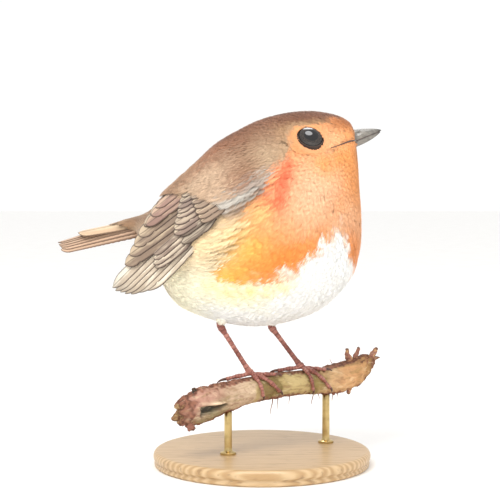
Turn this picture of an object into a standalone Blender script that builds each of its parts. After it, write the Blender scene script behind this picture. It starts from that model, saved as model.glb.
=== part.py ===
"""A life-size European robin on a cut length of branch, held by a plain display stand.

The bird stands still with its wings folded low and its head turned to neither side.
Frame: metres, +Z up. The bird looks along +X and its right side faces -Y.
The origin is the middle of the underside of the stand's base.
Every size and place below is in millimetres; add_object() turns them into metres.
"""

import math

import bmesh
import bpy
import numpy as np
from mathutils.bvhtree import BVHTree

MM = 0.001
GAP = 0.3  # left between neighbouring solids
RIGHT, LEFT = -1, 1  # the sign of Y on each side of the bird
SIDES = (("right", RIGHT), ("left", LEFT))

# ---- the body: rings between the line of the back and the line of the breast ----
# name, dorsal (x, z), ventral (x, z), half width, how much wider the ventral half is
BODY = (
    ("bill_base", (35.2, 129.4), (35.9, 122.6), 3.1, 0.00),
    ("forehead", (33.0, 132.7), (36.5, 118.9), 6.8, 0.00),
    ("forecrown", (27.4, 135.3), (37.0, 113.6), 10.0, 0.00),
    ("crown", (18.0, 136.6), (37.4, 107.4), 12.4, 0.03),
    ("hindcrown", (7.2, 135.5), (38.0, 100.3), 14.9, 0.12),
    ("nape", (-4.0, 132.0), (38.3, 92.0), 19.8, 0.20),
    ("mantle", (-14.8, 125.4), (37.6, 82.4), 25.0, 0.20),
    ("upper_back", (-24.4, 116.5), (33.2, 70.4), 28.2, 0.16),
    ("lower_back", (-32.8, 107.4), (19.5, 58.6), 28.8, 0.10),
    ("rump", (-39.4, 101.2), (-4.5, 53.7), 26.4, 0.06),
    ("uppertail", (-43.4, 98.4), (-29.8, 60.6), 20.4, 0.00),
    ("tail_coverts", (-45.8, 97.2), (-41.0, 76.0), 12.6, 0.00),
    ("tail_root", (-48.5, 96.2), (-47.8, 88.4), 6.2, 0.00),
)
NECK_FROM, TRUNK_FROM, RUMP_FROM, BODY_END = 4.4, 5.7, 9.6, 12.0
# name, (x, z), reach, height: low swellings and hollows on both sides of the face
FACE_FORMS = (
    ("ear_coverts", (12.0, 120.4), 6.0, 0.9),
    ("lores", (28.0, 127.0), 3.6, -0.7),
    ("brow", (19.0, 132.2), 3.4, 0.35),
    ("moustache", (27.0, 120.4), 4.0, 0.5),
)

# ---- eyes and bill ----
EYE_PLACE = (18.2, 125.8)  # x, z
EYE_RADIUS, EYE_DEPTH = 4.5, 3.0  # of the visible disc, and half the thickness along its axis
EYE_PROUD = 1.1  # how far the eye stands out of the head
BILL_BASE = (35.7, 126.0)  # x, z of the mouth line's front end at the feathers
BILL_LENGTH, BILL_TILT = 10.8, 14.0  # tilt in degrees above level
UPPER_HEIGHT, LOWER_HEIGHT, BILL_HALF_WIDTH = 3.1, 2.1, 2.4

# ---- the folded wing, laid on an ellipsoid just outside the trunk ----
WING_MIDDLE = (0.0, 92.6)  # x, z where along and across are 0
WING_SLOPE = 41.0  # degrees that the wing's length runs down from level, towards the tail
DRAPE_MIDDLE, DRAPE_HALF_LENGTH, DRAPE_HALF_DEPTH, DRAPE_HALF_WIDTH = 18.0, 47.5, 37.5, 29.4
# For each fan of feathers: roots and tips of its lowest and highest feather, as (along, across), how far
# its middle feathers reach beyond a straight line of tips and its middle roots beyond a straight line of
# roots, and its outer face's height above the drape at the side edges, at the roots and at the tips
FANS = {
    "primaries": dict(
        count=7, roots=((17.0, 11.6), (19.5, 24.4)), tips=((48.0, 8.4), (55.0, 23.6)), bow=5.0, root_bow=0.0,
        heights=(0.8, 1.3, 0.6)),
    "secondaries": dict(
        count=5, roots=((12.0, 21.5), (6.0, 32.4)), tips=((49.0, 23.0), (29.5, 32.2)), bow=0.6, root_bow=0.0,
        heights=(1.9, 2.4, 1.8)),
    "wing_coverts": dict(
        count=5, roots=((-9.5, 13.0), (-7.5, 30.6)), tips=((33.5, 10.8), (9.0, 32.0)), bow=1.5, root_bow=4.5,
        heights=(2.3, 2.6, 3.3)),
}
TIP_ROUND = 0.05  # a tip's rounding as a share of the feather's length

# ---- the tail ----
TAIL_ROOT, TAIL_TIP = (-48.9, 95.6), (-78.4, 85.2)  # x, z of the tail's ridge
TAIL_ROOT_HALF_WIDTH, TAIL_TIP_HALF_WIDTH = 5.6, 8.4
TAIL_ROOT_DROOP, TAIL_TIP_DROOP, TAIL_THICKNESS, TAIL_FEATHERS = 6.4, 3.0, 2.0, 6

# ---- the perch: a branch that runs past the feet, up and away to the bird's front left ----
PERCH_MIDDLE = (5.0, 0.0, 30.9)
PERCH_YAW = 31.5  # degrees from the bird's own line
# name, distance along the branch, rise of its middle line, radius
PERCH = (
    ("left_end", -42.8, -7.4, 3.9),
    ("left_break", -39.2, -6.7, 5.4),
    ("knot", -33.0, -5.1, 6.0),
    ("collar", -22.0, -2.7, 5.4),
    ("right_foot", -11.4, -1.2, 4.9),
    ("middle", 0.0, -0.2, 4.7),
    ("left_foot", 11.4, 0.0, 4.6),
    ("bend", 24.0, 0.0, 5.0),
    ("fork", 34.0, 1.1, 5.3),
    ("right_break", 42.0, 4.1, 4.2),
    ("right_end", 47.5, 6.6, 2.2),
)
# name, distance along, angle round from the top towards the bird's right, length, radius, lean
SPURS = (
    ("upper_spur", 37.0, -12.0, 4.0, 1.9, 0.3),
    ("dark_stub", -34.6, 8.0, 2.2, 1.5, -0.2),
    ("lower_stub", 33.0, 165.0, 2.2, 1.9, 0.3),
    ("left_chip", -39.0, 155.0, 2.4, 2.2, 0.4),
)
PERCH_WAVES = ((3, 0.23, 0.28), (5, -0.31, 0.2), (2, 0.12, 0.25))  # lobes, turns per mm, height

# ---- legs and feet ----
# side: ankle (x, y, z) and the foot's distance along the perch
LEGS = {
    "right": dict(ankle=(-16.2, -9.0, 55.2), foot_at=-11.4),
    "left": dict(ankle=(3.4, 9.0, 52.9), foot_at=11.8),
}
THIGH_TOP_RISE, THIGH_RADIUS = 9.0, 5.2
TARSUS_RADIUS, ANKLE_RADIUS, FOOT_RADIUS = 1.0, 1.5, 1.6
# name, direction round from the perch's own line, length, radius at root, claw length
TOES = (
    ("1", 200.0, 9.0, 0.95, 4.6),
    ("2", 20.0, 10.2, 0.85, 3.2),
    ("3", 48.0, 14.6, 0.92, 3.6),
    ("4", 78.0, 11.6, 0.85, 3.2),
)
TOE_CLEARANCE = 0.4  # between a toe and the bark

# ---- the stand ----
BASE_RADIUS, BASE_THICKNESS, BASE_BEVEL = 42.0, 6.0, 1.0
ROD_RADIUS = 1.5
ROD_PLACES = (("stand_rod_rear", -21.0), ("stand_rod_front", 24.0))  # distance along the perch

# name: colour, roughness, metallic
MATERIALS = {
    "brown_plumage": ((0.42, 0.29, 0.18), 0.85, 0.0),
    "orange_plumage": ((0.83, 0.36, 0.12), 0.85, 0.0),
    "pale_plumage": ((0.86, 0.80, 0.64), 0.85, 0.0),
    "flight_feathers": ((0.40, 0.31, 0.23), 0.7, 0.0),
    "bill_horn": ((0.10, 0.09, 0.08), 0.35, 0.0),
    "eye": ((0.02, 0.015, 0.012), 0.05, 0.0),
    "leg_skin": ((0.33, 0.14, 0.10), 0.5, 0.0),
    "bark": ((0.48, 0.34, 0.20), 0.9, 0.0),
    "stand_wood": ((0.62, 0.50, 0.36), 0.5, 0.0),
    "stand_metal": ((0.70, 0.62, 0.45), 0.3, 1.0),
}


# ------------------------------------------------------------------ helpers
def clear_scene():
    for item in list(bpy.data.objects):
        bpy.data.objects.remove(item)


def material(name):
    found = bpy.data.materials.get(name)
    if found:
        return found
    colour, roughness, metallic = MATERIALS[name]
    made = bpy.data.materials.new(name)
    made.use_nodes = True
    shader = made.node_tree.nodes["Principled BSDF"]
    shader.inputs["Base Color"].default_value = (*colour, 1.0)
    shader.inputs["Roughness"].default_value = roughness
    shader.inputs["Metallic"].default_value = metallic
    return made


def add_object(name, mesh_builder, material_name):
    """Makes an object from a bmesh in millimetres and shades it smooth."""
    for vertex in mesh_builder.verts:
        vertex.co *= MM
    mesh = bpy.data.meshes.new(name)
    bmesh.ops.recalc_face_normals(mesh_builder, faces=mesh_builder.faces)
    mesh_builder.to_mesh(mesh)
    mesh_builder.free()
    mesh.materials.append(material(material_name))
    mesh.shade_smooth()
    mesh.set_sharp_from_angle(angle=math.radians(50))
    made = bpy.data.objects.new(name, mesh)
    bpy.context.scene.collection.objects.link(made)
    return made


def as_helper(made):
    made.hide_render = True
    made.display_type = "WIRE"
    return made


def cut(target, cutter, operation="DIFFERENCE"):
    modifier = target.modifiers.new(operation.lower(), "BOOLEAN")
    modifier.operation = operation
    modifier.solver = "EXACT"
    modifier.object = cutter


def smooth_rows(rows, at):
    """Catmull-Rom through rows of numbers, one row for each whole number of at."""
    rows = np.asarray(rows, float)
    padded = np.vstack([2 * rows[0] - rows[1], rows, 2 * rows[-1] - rows[-2]])
    at = np.clip(np.atleast_1d(at), 0, len(rows) - 1)
    first = np.minimum(at.astype(int), len(rows) - 2)
    t = (at - first)[:, None]
    p0, p1, p2, p3 = (padded[first + k] for k in range(4))
    return 0.5 * (2 * p1 + (p2 - p0) * t + (2 * p0 - 5 * p1 + 4 * p2 - p3) * t**2
                  + (3 * p1 - p0 - 3 * p2 + p3) * t**3)


def loft(rings, start_point=None, end_point=None):
    """A closed bmesh through rings of points, with flat caps or a point at each end."""
    builder = bmesh.new()
    loops = [[builder.verts.new(p) for p in ring] for ring in rings]
    count = len(loops[0])
    for one, other in zip(loops, loops[1:]):
        for i in range(count):
            j = (i + 1) % count
            builder.faces.new((one[i], one[j], other[j], other[i]))
    for loop, point in ((loops[0], start_point), (loops[-1], end_point)):
        if point is None:
            builder.faces.new(loop)
            continue
        tip = builder.verts.new(point)
        for i in range(count):
            builder.faces.new((loop[i], loop[(i + 1) % count], tip))
    return builder


def unit(vector):
    vector = np.asarray(vector, float)
    return vector / np.linalg.norm(vector)


def tube(points, radii, sides, end_point=None):
    """A closed tube along points, round in the plane across each stretch."""
    points = np.asarray(points, float)
    ahead = np.gradient(points, axis=0)
    across = unit(np.cross(ahead[0], (0.31, 0.95, 0.11)))
    rings = []
    for point, direction, radius in zip(points, ahead, radii):
        direction = unit(direction)
        across = unit(across - direction * (across @ direction))
        other = np.cross(direction, across)
        turns = 2 * math.pi * np.arange(sides) / sides
        rings.append(point + radius * (np.cos(turns)[:, None] * across + np.sin(turns)[:, None] * other))
    return loft(rings, end_point=end_point)


# ------------------------------------------------------------------ body
BODY_ROWS = [(*dorsal, *ventral, width, pear) for _, dorsal, ventral, width, pear in BODY]


def body_ring(at, count, grow=0.0, shift=0.0):
    """The body's outline in the plane of one station. grow swells it, and shift moves it along the body."""
    dorsal_x, dorsal_z, ventral_x, ventral_z, width, pear = smooth_rows(BODY_ROWS, at)[0]
    dorsal, ventral = np.array([dorsal_x, 0, dorsal_z]), np.array([ventral_x, 0, ventral_z])
    half = (dorsal - ventral) / 2
    up = unit(half)
    backward = np.cross((0, 1, 0), up) * -1
    turn = 2 * math.pi * np.arange(count) / count
    along = (np.linalg.norm(half) + grow) * np.cos(turn)
    sideways = (width + grow) * np.sin(turn) * (1 - pear * np.cos(turn))
    points = (dorsal + ventral) / 2 + along[:, None] * up + sideways[:, None] * np.array([0, 1, 0])
    outward = points - (dorsal + ventral) / 2
    outward /= np.linalg.norm(outward, axis=1)[:, None]
    for _, (x, z), reach, height in FACE_FORMS:
        away = np.hypot(points[:, 0] - x, points[:, 2] - z) / reach
        beside = np.abs(np.sin(turn)) ** 2
        points += (height * np.exp(-(away**2)) * beside)[:, None] * outward
    return points + shift * backward


def body_loft(start, end, rings, count, grow=0.0, gap_start=0.0, gap_end=0.0):
    places = np.linspace(start, end, rings)
    shifts = [gap_start] + [0.0] * (rings - 2) + [-gap_end]
    return loft([body_ring(at, count, grow, shift) for at, shift in zip(places, shifts)])


def body_tree():
    builder = body_loft(0.0, BODY_END, 49, 48)
    tree = BVHTree.FromBMesh(builder)
    builder.free()
    return tree


def body_side(tree, x, z, side, clear=0.0):
    """How far the body's side lies from the middle plane at x, z, and clear beyond it. It is 0 past its outline."""
    far = 100.0
    hit, normal, _, _ = tree.ray_cast((x, side * far, z), (0, -side, 0), far)
    return 0.0 if hit is None else abs(hit.y) + clear / max(0.3, abs(normal.y))


def make_body():
    half = GAP / 2
    add_object("head", body_loft(0.0, NECK_FROM, 13, 26, gap_end=half), "orange_plumage")
    add_object("neck", body_loft(NECK_FROM, TRUNK_FROM, 5, 28, gap_start=half, gap_end=half), "orange_plumage")
    add_object("trunk", body_loft(TRUNK_FROM, RUMP_FROM, 13, 32, gap_start=half, gap_end=half), "pale_plumage")
    add_object("rump", body_loft(RUMP_FROM, BODY_END, 8, 26, gap_start=half), "brown_plumage")


# ------------------------------------------------------------------ eyes and bill
def ellipsoid(centre, axis, radius, depth, segments, rings):
    """A squat ball whose short half-axis, depth, lies along axis."""
    axis = unit(axis)
    level = unit(np.cross((0, 0, 1) if abs(axis[2]) < 0.9 else (0, 1, 0), axis))
    upright = np.cross(axis, level)
    builder = bmesh.new()
    bmesh.ops.create_uvsphere(builder, u_segments=segments, v_segments=rings, radius=1.0)
    for vertex in builder.verts:
        x, y, z = vertex.co
        vertex.co = np.asarray(centre) + radius * (x * level + y * upright) + depth * z * axis
    return builder


def make_eyes(tree):
    x, z = EYE_PLACE
    for name, side in SIDES:
        ahead, behind, above, below = (
            body_side(tree, x + dx, z + dz, side) for dx, dz in ((2, 0), (-2, 0), (0, 2), (0, -2)))
        outward = unit(((behind - ahead) / 4, side, (below - above) / 4))
        surface = np.array([x, side * body_side(tree, x, z, side), z])
        centre = surface + outward * (EYE_PROUD - EYE_DEPTH)
        add_object(f"eye_{name}", ellipsoid(centre, outward, EYE_RADIUS, EYE_DEPTH, 14, 8), "eye")
        socket = ellipsoid(centre, outward, EYE_RADIUS + GAP, EYE_DEPTH + GAP, 16, 8)
        socket = as_helper(add_object(f"socket_{name}", socket, "eye"))
        cut(bpy.data.objects["head"], socket)


def mandible(height, half_width, sign, length, bend):
    """One half of the bill: a flat-floored, tapering dome. sign is 1 for the upper half."""
    tilt = math.radians(BILL_TILT)
    ahead = np.array([math.cos(tilt), 0, math.sin(tilt)])
    up = np.array([-math.sin(tilt), 0, math.cos(tilt)])
    start = np.array([BILL_BASE[0] + GAP, 0, BILL_BASE[1]])
    rings = []
    for t in np.linspace(0, 0.94, 8):
        taper = 1 - t**1.35 if sign > 0 else (1 - t) ** 0.85
        arc = np.linspace(0, math.pi, 9)
        drop = bend * t**3
        sideways = half_width * taper * np.cos(arc)
        rise = sign * (GAP / 2 + height * taper * np.sin(arc)) + drop
        rings.append(start + length * t * ahead + rise[:, None] * up + sideways[:, None] * np.array([0, 1, 0]))
    tip = start + length * ahead + (sign * GAP / 2 + bend) * up
    return loft(rings, end_point=tip)


def make_bill():
    upper = mandible(UPPER_HEIGHT, BILL_HALF_WIDTH, 1, BILL_LENGTH, -0.3)
    lower = mandible(LOWER_HEIGHT, BILL_HALF_WIDTH * 0.94, -1, BILL_LENGTH - 0.7, 0.0)
    add_object("bill_upper", upper, "bill_horn")
    add_object("bill_lower", lower, "bill_horn")


# ------------------------------------------------------------------ wings and tail
def wing_to_side_plane(along, across):
    slope = math.radians(WING_SLOPE)
    x = WING_MIDDLE[0] - along * math.cos(slope) - across * math.sin(slope)
    z = WING_MIDDLE[1] - along * math.sin(slope) + across * math.cos(slope)
    return x, z


def drape(along, across):
    """How far the wing's inner face would lie from the middle plane, on its own ellipsoid."""
    share = ((along - DRAPE_MIDDLE) / DRAPE_HALF_LENGTH) ** 2 + (across / DRAPE_HALF_DEPTH) ** 2
    return DRAPE_HALF_WIDTH * math.sqrt(max(0.04, 1 - share))


def fan_point(fan, place, reach):
    """The point at share reach of the length, place counting feathers up from the fan's lowest edge."""
    share = place / fan["count"]
    (low_root, high_root), (low_tip, high_tip) = (np.array(fan[key], float) for key in ("roots", "tips"))
    root = low_root + (high_root - low_root) * share
    tip = low_tip + (high_tip - low_tip) * share
    ahead = unit(tip - root) * math.sin(math.pi * share)
    root, tip = root - ahead * fan["root_bow"], tip + ahead * fan["bow"]
    off_middle = abs(2 * (place - math.floor(place + 1e-6)) - 1)
    return root + (tip - root) * reach * (1 - TIP_ROUND * (off_middle * reach) ** 3)


def fan_height(fan, share, reach):
    """The outer face's height above the drape, at a share of the way across the fan."""
    edge, root, tip = fan["heights"]
    return edge + (root + (tip - root) * reach - edge) * min(1.0, 5 * share, 5 * (1 - share))


def plate(top, bottom, columns, rows):
    """A closed bmesh between two grids of points, stored column by column."""
    builder = bmesh.new()
    top, bottom = ([builder.verts.new(p) for p in points] for points in (top, bottom))
    rim = [c * rows for c in range(columns)] + [(columns - 1) * rows + r for r in range(1, rows)]
    rim += [c * rows + rows - 1 for c in range(columns - 2, -1, -1)] + list(range(rows - 2, 0, -1))
    for c in range(columns - 1):
        for r in range(rows - 1):
            corners = (c * rows + r, (c + 1) * rows + r, (c + 1) * rows + r + 1, c * rows + r + 1)
            builder.faces.new([top[k] for k in corners])
            builder.faces.new([bottom[k] for k in reversed(corners)])
    for one, other in zip(rim, rim[1:] + rim[:1]):
        builder.faces.new((top[other], top[one], bottom[one], bottom[other]))
    return builder


def fan_solid(fan, body, side, grow=0.0, rows=6):
    """A plate of overlapping feathers, laid over the body and scalloped along its free edge.

    grow swells it all round and sinks its inner face, which makes it a cutter for the plate that lies over it.
    """
    columns = 3 * fan["count"] + 1
    middle = (np.array(fan["roots"]).mean(axis=0) + np.array(fan["tips"]).mean(axis=0)) / 2
    outer, inner = [], []
    for column in range(columns):
        for row in range(rows):
            reach = row / (rows - 1)
            place = fan_point(fan, column / 3, reach)
            along, across = place + grow * unit(place - middle)
            x, z = wing_to_side_plane(along, across)
            near = max(drape(along, across), body_side(body, x, z, side, GAP + 0.15))
            height = fan_height(fan, column / (columns - 1), reach) * (0.9 if column % 3 == 0 else 1.0)
            outer.append((x, side * (near + height + grow), z))
            inner.append((x, side * (near - 8 * grow), z))
    return plate(outer, inner, columns, rows)


def make_wings(body, cutter):
    for name, side in SIDES:
        cutters = [cutter]
        for part, fan in FANS.items():
            made = add_object(f"{part}_{name}", fan_solid(fan, body, side), "flight_feathers")
            for other in cutters:
                cut(made, other)
            swollen = fan_solid(fan, body, side, grow=GAP)
            cutters.append(as_helper(add_object(f"{part}_{name}_cutter", swollen, "flight_feathers")))


def make_tail():
    root, tip = np.array(TAIL_ROOT), np.array(TAIL_TIP)
    columns, rows = 2 * TAIL_FEATHERS + 1, 6
    top, bottom = [], []
    for column in range(columns):
        across = 2 * column / (columns - 1) - 1
        off_middle = 0.0 if column % 2 else 1.0
        for row in range(rows):
            reach = row / (rows - 1)
            half_width = TAIL_ROOT_HALF_WIDTH + (TAIL_TIP_HALF_WIDTH - TAIL_ROOT_HALF_WIDTH) * reach
            shorten = 1 - reach * (0.05 * off_middle + 0.03 * abs(across))
            x, z = root + (tip - root) * reach * shorten
            z -= across**2 * (TAIL_ROOT_DROOP + (TAIL_TIP_DROOP - TAIL_ROOT_DROOP) * reach)
            thickness = TAIL_THICKNESS * (1 - 0.4 * abs(across)) * (1 - 0.35 * reach)
            top.append((x, across * half_width, z + thickness / 2))
            bottom.append((x, across * half_width, z - thickness / 2))
    add_object("tail", plate(top, bottom, columns, rows), "flight_feathers")


# ------------------------------------------------------------------ perch
PERCH_ALONG = np.array([row[1] for row in PERCH])


def perch_line(at):
    """Middle, radius and heading of the branch at a distance along it."""
    station = np.interp(at, PERCH_ALONG, np.arange(len(PERCH)))
    _, rise, radius = smooth_rows([row[1:] for row in PERCH], station)[0]
    yaw = math.radians(PERCH_YAW)
    level = np.array([math.cos(yaw), math.sin(yaw), 0])
    middle = np.array(PERCH_MIDDLE) + at * level + np.array([0, 0, rise])
    return middle, radius, level


def perch_point(at, turn, clear=0.0):
    """A point round the branch, turn degrees from the top towards the bird's right side."""
    middle, radius, level = perch_line(at)
    to_right = np.cross(level, (0, 0, 1))
    turn = math.radians(turn)
    return middle + (radius + clear) * (math.cos(turn) * np.array([0, 0, 1]) + math.sin(turn) * to_right)


def near_a_foot(at):
    return max(math.exp(-(((at - leg["foot_at"]) / 9.0) ** 2)) for leg in LEGS.values())


def make_perch():
    sides, rings = 14, []
    for at in np.linspace(PERCH[0][1], PERCH[-1][1], 23):
        waves = [h * math.sin(f * at * 2 * math.pi + n) for n, f, h in PERCH_WAVES]
        calm = 1 - near_a_foot(at)
        ring = []
        for k in range(sides):
            turn = 2 * math.pi * k / sides
            ripple = sum(w * math.cos(n * turn) for w, (n, _, _) in zip(waves, PERCH_WAVES))
            ring.append(perch_point(at, math.degrees(turn), calm * ripple))
        rings.append(ring)
    perch = add_object("perch", loft(rings), "bark")
    for name, at, turn, length, radius, lean in SPURS:
        _, _, level = perch_line(at)
        foot, head = perch_point(at, turn, -2.5), perch_point(at, turn, length)
        points = [foot + (head - foot) * t + level * lean * length * t for t in (0, 0.4, 0.75, 1)]
        spur = tube(points, [radius * f for f in (1.2, 1.0, 0.8, 0.55)], 8)
        cut(perch, as_helper(add_object(name, spur, "bark")), "UNION")


# ------------------------------------------------------------------ legs and feet
def foot_centre(side):
    middle = perch_point(LEGS[side]["foot_at"], 0, FOOT_RADIUS + TOE_CLEARANCE)
    return middle


def toe_path(foot_at, heading, start, end, count, clear):
    """Points along a toe that runs over the bark at a heading from the branch's own line."""
    heading = math.radians(heading)
    _, radius, _ = perch_line(foot_at)
    points = []
    for run in np.linspace(start, end, count):
        at = foot_at + run * math.cos(heading)
        turn = math.degrees(run * math.sin(heading) / (radius + clear))
        points.append(perch_point(at, turn, clear))
    return points


def make_foot(side):
    foot_at = LEGS[side]["foot_at"]
    ball = ellipsoid(foot_centre(side), (0, 0, 1), FOOT_RADIUS, FOOT_RADIUS, 10, 6)
    foot = add_object(f"foot_{side}", ball, "leg_skin")
    for name, heading, length, radius, claw in TOES:
        clear = radius + TOE_CLEARANCE
        path = toe_path(foot_at, heading, 0.2, length, 7, clear)
        joints = [1.0 + 0.1 * math.cos(2 * math.pi * k / 3) for k in range(len(path))]
        radii = [radius * j * (1 - 0.22 * k / 6) for k, j in enumerate(joints)]
        toe = as_helper(add_object(f"toe_{side}_{name}", tube(path, radii, 6), "leg_skin"))
        cut(foot, toe, "UNION")
        claw_path = toe_path(foot_at, heading, length + GAP, length + claw, 5, clear)
        lift = [0.0, 0.3, 0.25, 0.0, -0.25]
        outward = [unit(p - perch_line(foot_at)[0]) for p in claw_path]
        points = [p + o * l for p, o, l in zip(claw_path, outward, lift)]
        thin = [radius * f for f in (0.62, 0.56, 0.42, 0.26)]
        add_object(f"claw_{side}_{name}", tube(points[:-1], thin, 6, end_point=points[-1]), "bill_horn")


def make_leg(side, cutter):
    ankle = np.array(LEGS[side]["ankle"])
    foot = foot_centre(side)
    down = unit(foot - ankle)
    bottom = foot - down * (FOOT_RADIUS + GAP)
    length = np.linalg.norm(bottom - ankle)
    shares = (0.0, 0.07, 0.16, 0.5, 0.86, 1.0)
    radii = (0.8, ANKLE_RADIUS, 1.0, TARSUS_RADIUS, TARSUS_RADIUS, 1.05)
    path = [ankle + down * length * share for share in shares]
    add_object(f"tarsus_{side}", tube(path, radii, 8), "leg_skin")
    top = ankle + np.array([2.4, 0, THIGH_TOP_RISE])
    low = ankle - down * (GAP + 0.6)
    path = [top + (low - top) * share for share in (0, 0.35, 0.65, 0.88, 1.0)]
    radii = [THIGH_RADIUS * share for share in (1.0, 0.92, 0.62, 0.36, 0.2)]
    thigh = add_object(f"thigh_{side}", tube(path, radii, 12), "pale_plumage")
    cut(thigh, cutter)


def make_legs(cutter):
    for side, _ in SIDES:
        make_leg(side, cutter)
        make_foot(side)


# ------------------------------------------------------------------ stand
def cylinder(middle, radius, low, high, segments):
    builder = bmesh.new()
    bmesh.ops.create_cone(builder, cap_ends=True, segments=segments, radius1=radius, radius2=radius, depth=high - low)
    bmesh.ops.translate(builder, vec=(middle[0], middle[1], (low + high) / 2), verts=builder.verts)
    return builder


def make_stand():
    base = add_object("stand_base", cylinder((0, 0), BASE_RADIUS, 0, BASE_THICKNESS, 36), "stand_wood")
    bevel = base.modifiers.new("edge", "BEVEL")
    bevel.width = BASE_BEVEL * MM
    bevel.segments = 1
    bevel.limit_method = "ANGLE"
    for name, at in ROD_PLACES:
        low_point = perch_point(at, 180, GAP + 0.35)
        rod = cylinder(low_point[:2], ROD_RADIUS, BASE_THICKNESS + GAP, low_point[2], 14)
        add_object(name, rod, "stand_metal")


def main():
    clear_scene()
    tree = body_tree()
    make_body()
    make_eyes(tree)
    make_bill()
    cutter = body_loft(0.0, BODY_END, 37, 48, grow=GAP)
    cutter = as_helper(add_object("body_cutter", cutter, "pale_plumage"))
    make_wings(tree, cutter)
    make_tail()
    make_perch()
    make_legs(cutter)
    make_stand()


main()
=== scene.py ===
"""The looks of a life-size European robin on its branch: skin, feathers, eyes, bill, legs, bark, stand and light.

Sizes are in millimetres in the same frame as the solids, +Z up, the bird looking along +X, and
add_mesh() turns them into metres.
"""

import itertools
import math
from collections import namedtuple

import bmesh
import bpy
import numpy as np
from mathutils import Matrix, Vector
from mathutils.bvhtree import BVHTree

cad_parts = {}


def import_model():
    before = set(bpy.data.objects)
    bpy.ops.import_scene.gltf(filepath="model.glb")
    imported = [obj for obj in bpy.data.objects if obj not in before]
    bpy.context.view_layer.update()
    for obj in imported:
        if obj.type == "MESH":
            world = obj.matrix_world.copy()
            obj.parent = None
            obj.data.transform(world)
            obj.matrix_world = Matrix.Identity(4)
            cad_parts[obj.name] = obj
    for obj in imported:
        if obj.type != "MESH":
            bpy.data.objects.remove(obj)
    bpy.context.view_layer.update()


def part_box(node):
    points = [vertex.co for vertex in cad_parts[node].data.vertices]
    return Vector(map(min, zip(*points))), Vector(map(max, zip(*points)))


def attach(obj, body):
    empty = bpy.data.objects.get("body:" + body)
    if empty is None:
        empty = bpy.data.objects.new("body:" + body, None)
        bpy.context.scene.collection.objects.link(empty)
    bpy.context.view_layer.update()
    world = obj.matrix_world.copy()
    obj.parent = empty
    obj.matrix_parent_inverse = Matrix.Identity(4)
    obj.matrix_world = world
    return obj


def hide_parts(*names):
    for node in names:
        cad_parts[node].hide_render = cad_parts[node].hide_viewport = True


MM = 0.001
SEED = 11
RIGHT, LEFT = -1, 1
SIDES = (("right", RIGHT), ("left", LEFT))
UP, TO_LEFT = np.array([0.0, 0.0, 1.0]), np.array([0.0, 1.0, 0.0])
CIRCLE = 2 * math.pi
STEP = 1e-3  # between the points of a surface that show how it runs

# ---- the body's rings, as in the solids: dorsal x, z, ventral x, z, half width, how much wider it is below ----
BODY = np.array((
    (35.2, 129.4, 35.9, 122.6, 3.1, 0.00),  # bill base
    (33.0, 132.7, 36.5, 118.9, 6.8, 0.00),  # forehead
    (27.4, 135.3, 37.0, 113.6, 10.0, 0.00),  # forecrown
    (18.0, 136.6, 37.4, 107.4, 12.4, 0.03),  # crown
    (7.2, 135.5, 38.0, 100.3, 14.9, 0.12),  # hindcrown
    (-4.0, 132.0, 38.3, 92.0, 19.8, 0.20),  # nape
    (-14.8, 125.4, 37.6, 82.4, 25.0, 0.20),  # mantle
    (-24.4, 116.5, 33.2, 70.4, 28.2, 0.16),  # upper back
    (-32.8, 107.4, 19.5, 58.6, 28.8, 0.10),  # lower back
    (-39.4, 101.2, -4.5, 53.7, 26.4, 0.06),  # rump
    (-43.4, 98.4, -29.8, 60.6, 20.4, 0.00),  # uppertail
    (-45.8, 97.2, -41.0, 76.0, 12.6, 0.00),  # tail coverts
    (-48.5, 96.2, -47.8, 88.4, 6.2, 0.00),  # tail root
))
BODY_END = len(BODY) - 1
# how the tail's coverts lie on the tail, past the body's last ring
COVERT_ROWS = ((-53.5, 94.9, -53.5, 89.8, 6.3, 0.0), (-59.0, 93.0, -59.0, 88.1, 6.5, 0.0),
               (-64.5, 91.0, -64.5, 86.3, 6.8, 0.0))
BODY_LINE = np.vstack([2 * BODY[0] - BODY[1], BODY, COVERT_ROWS])
# low swellings and hollows on both sides of the face: (x, z), reach, height
FACE_FORMS = (((12.0, 120.4), 6.0, 0.9), ((28.0, 127.0), 3.6, -0.7), ((19.0, 132.2), 3.4, 0.35),
              ((27.0, 120.4), 4.0, 0.5), ((34.2, 126.0), 2.8, -1.5))

# ---- the coat by station along the body: how deep the skin lies, and the tufts' spacing, length and width ----
COAT = np.array((
    (0.0, 0.35, 0.38, 1.3, 0.8),  # bill
    (1.0, 0.7, 0.52, 2.2, 1.2),  # forehead
    (3.0, 1.2, 0.7, 3.6, 1.9),  # crown
    (4.5, 1.6, 0.9, 5.0, 2.7),  # nape
    (6.0, 2.1, 1.15, 7.0, 3.9),  # mantle
    (8.0, 2.4, 1.3, 8.4, 4.6),  # back
    (10.0, 2.2, 1.3, 9.0, 4.6),  # rump
    (12.0, 1.2, 1.05, 8.0, 3.8),  # tail
))
DEPTH, SPACING, LENGTH, WIDTH = 1, 2, 3, 4  # its columns
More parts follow.
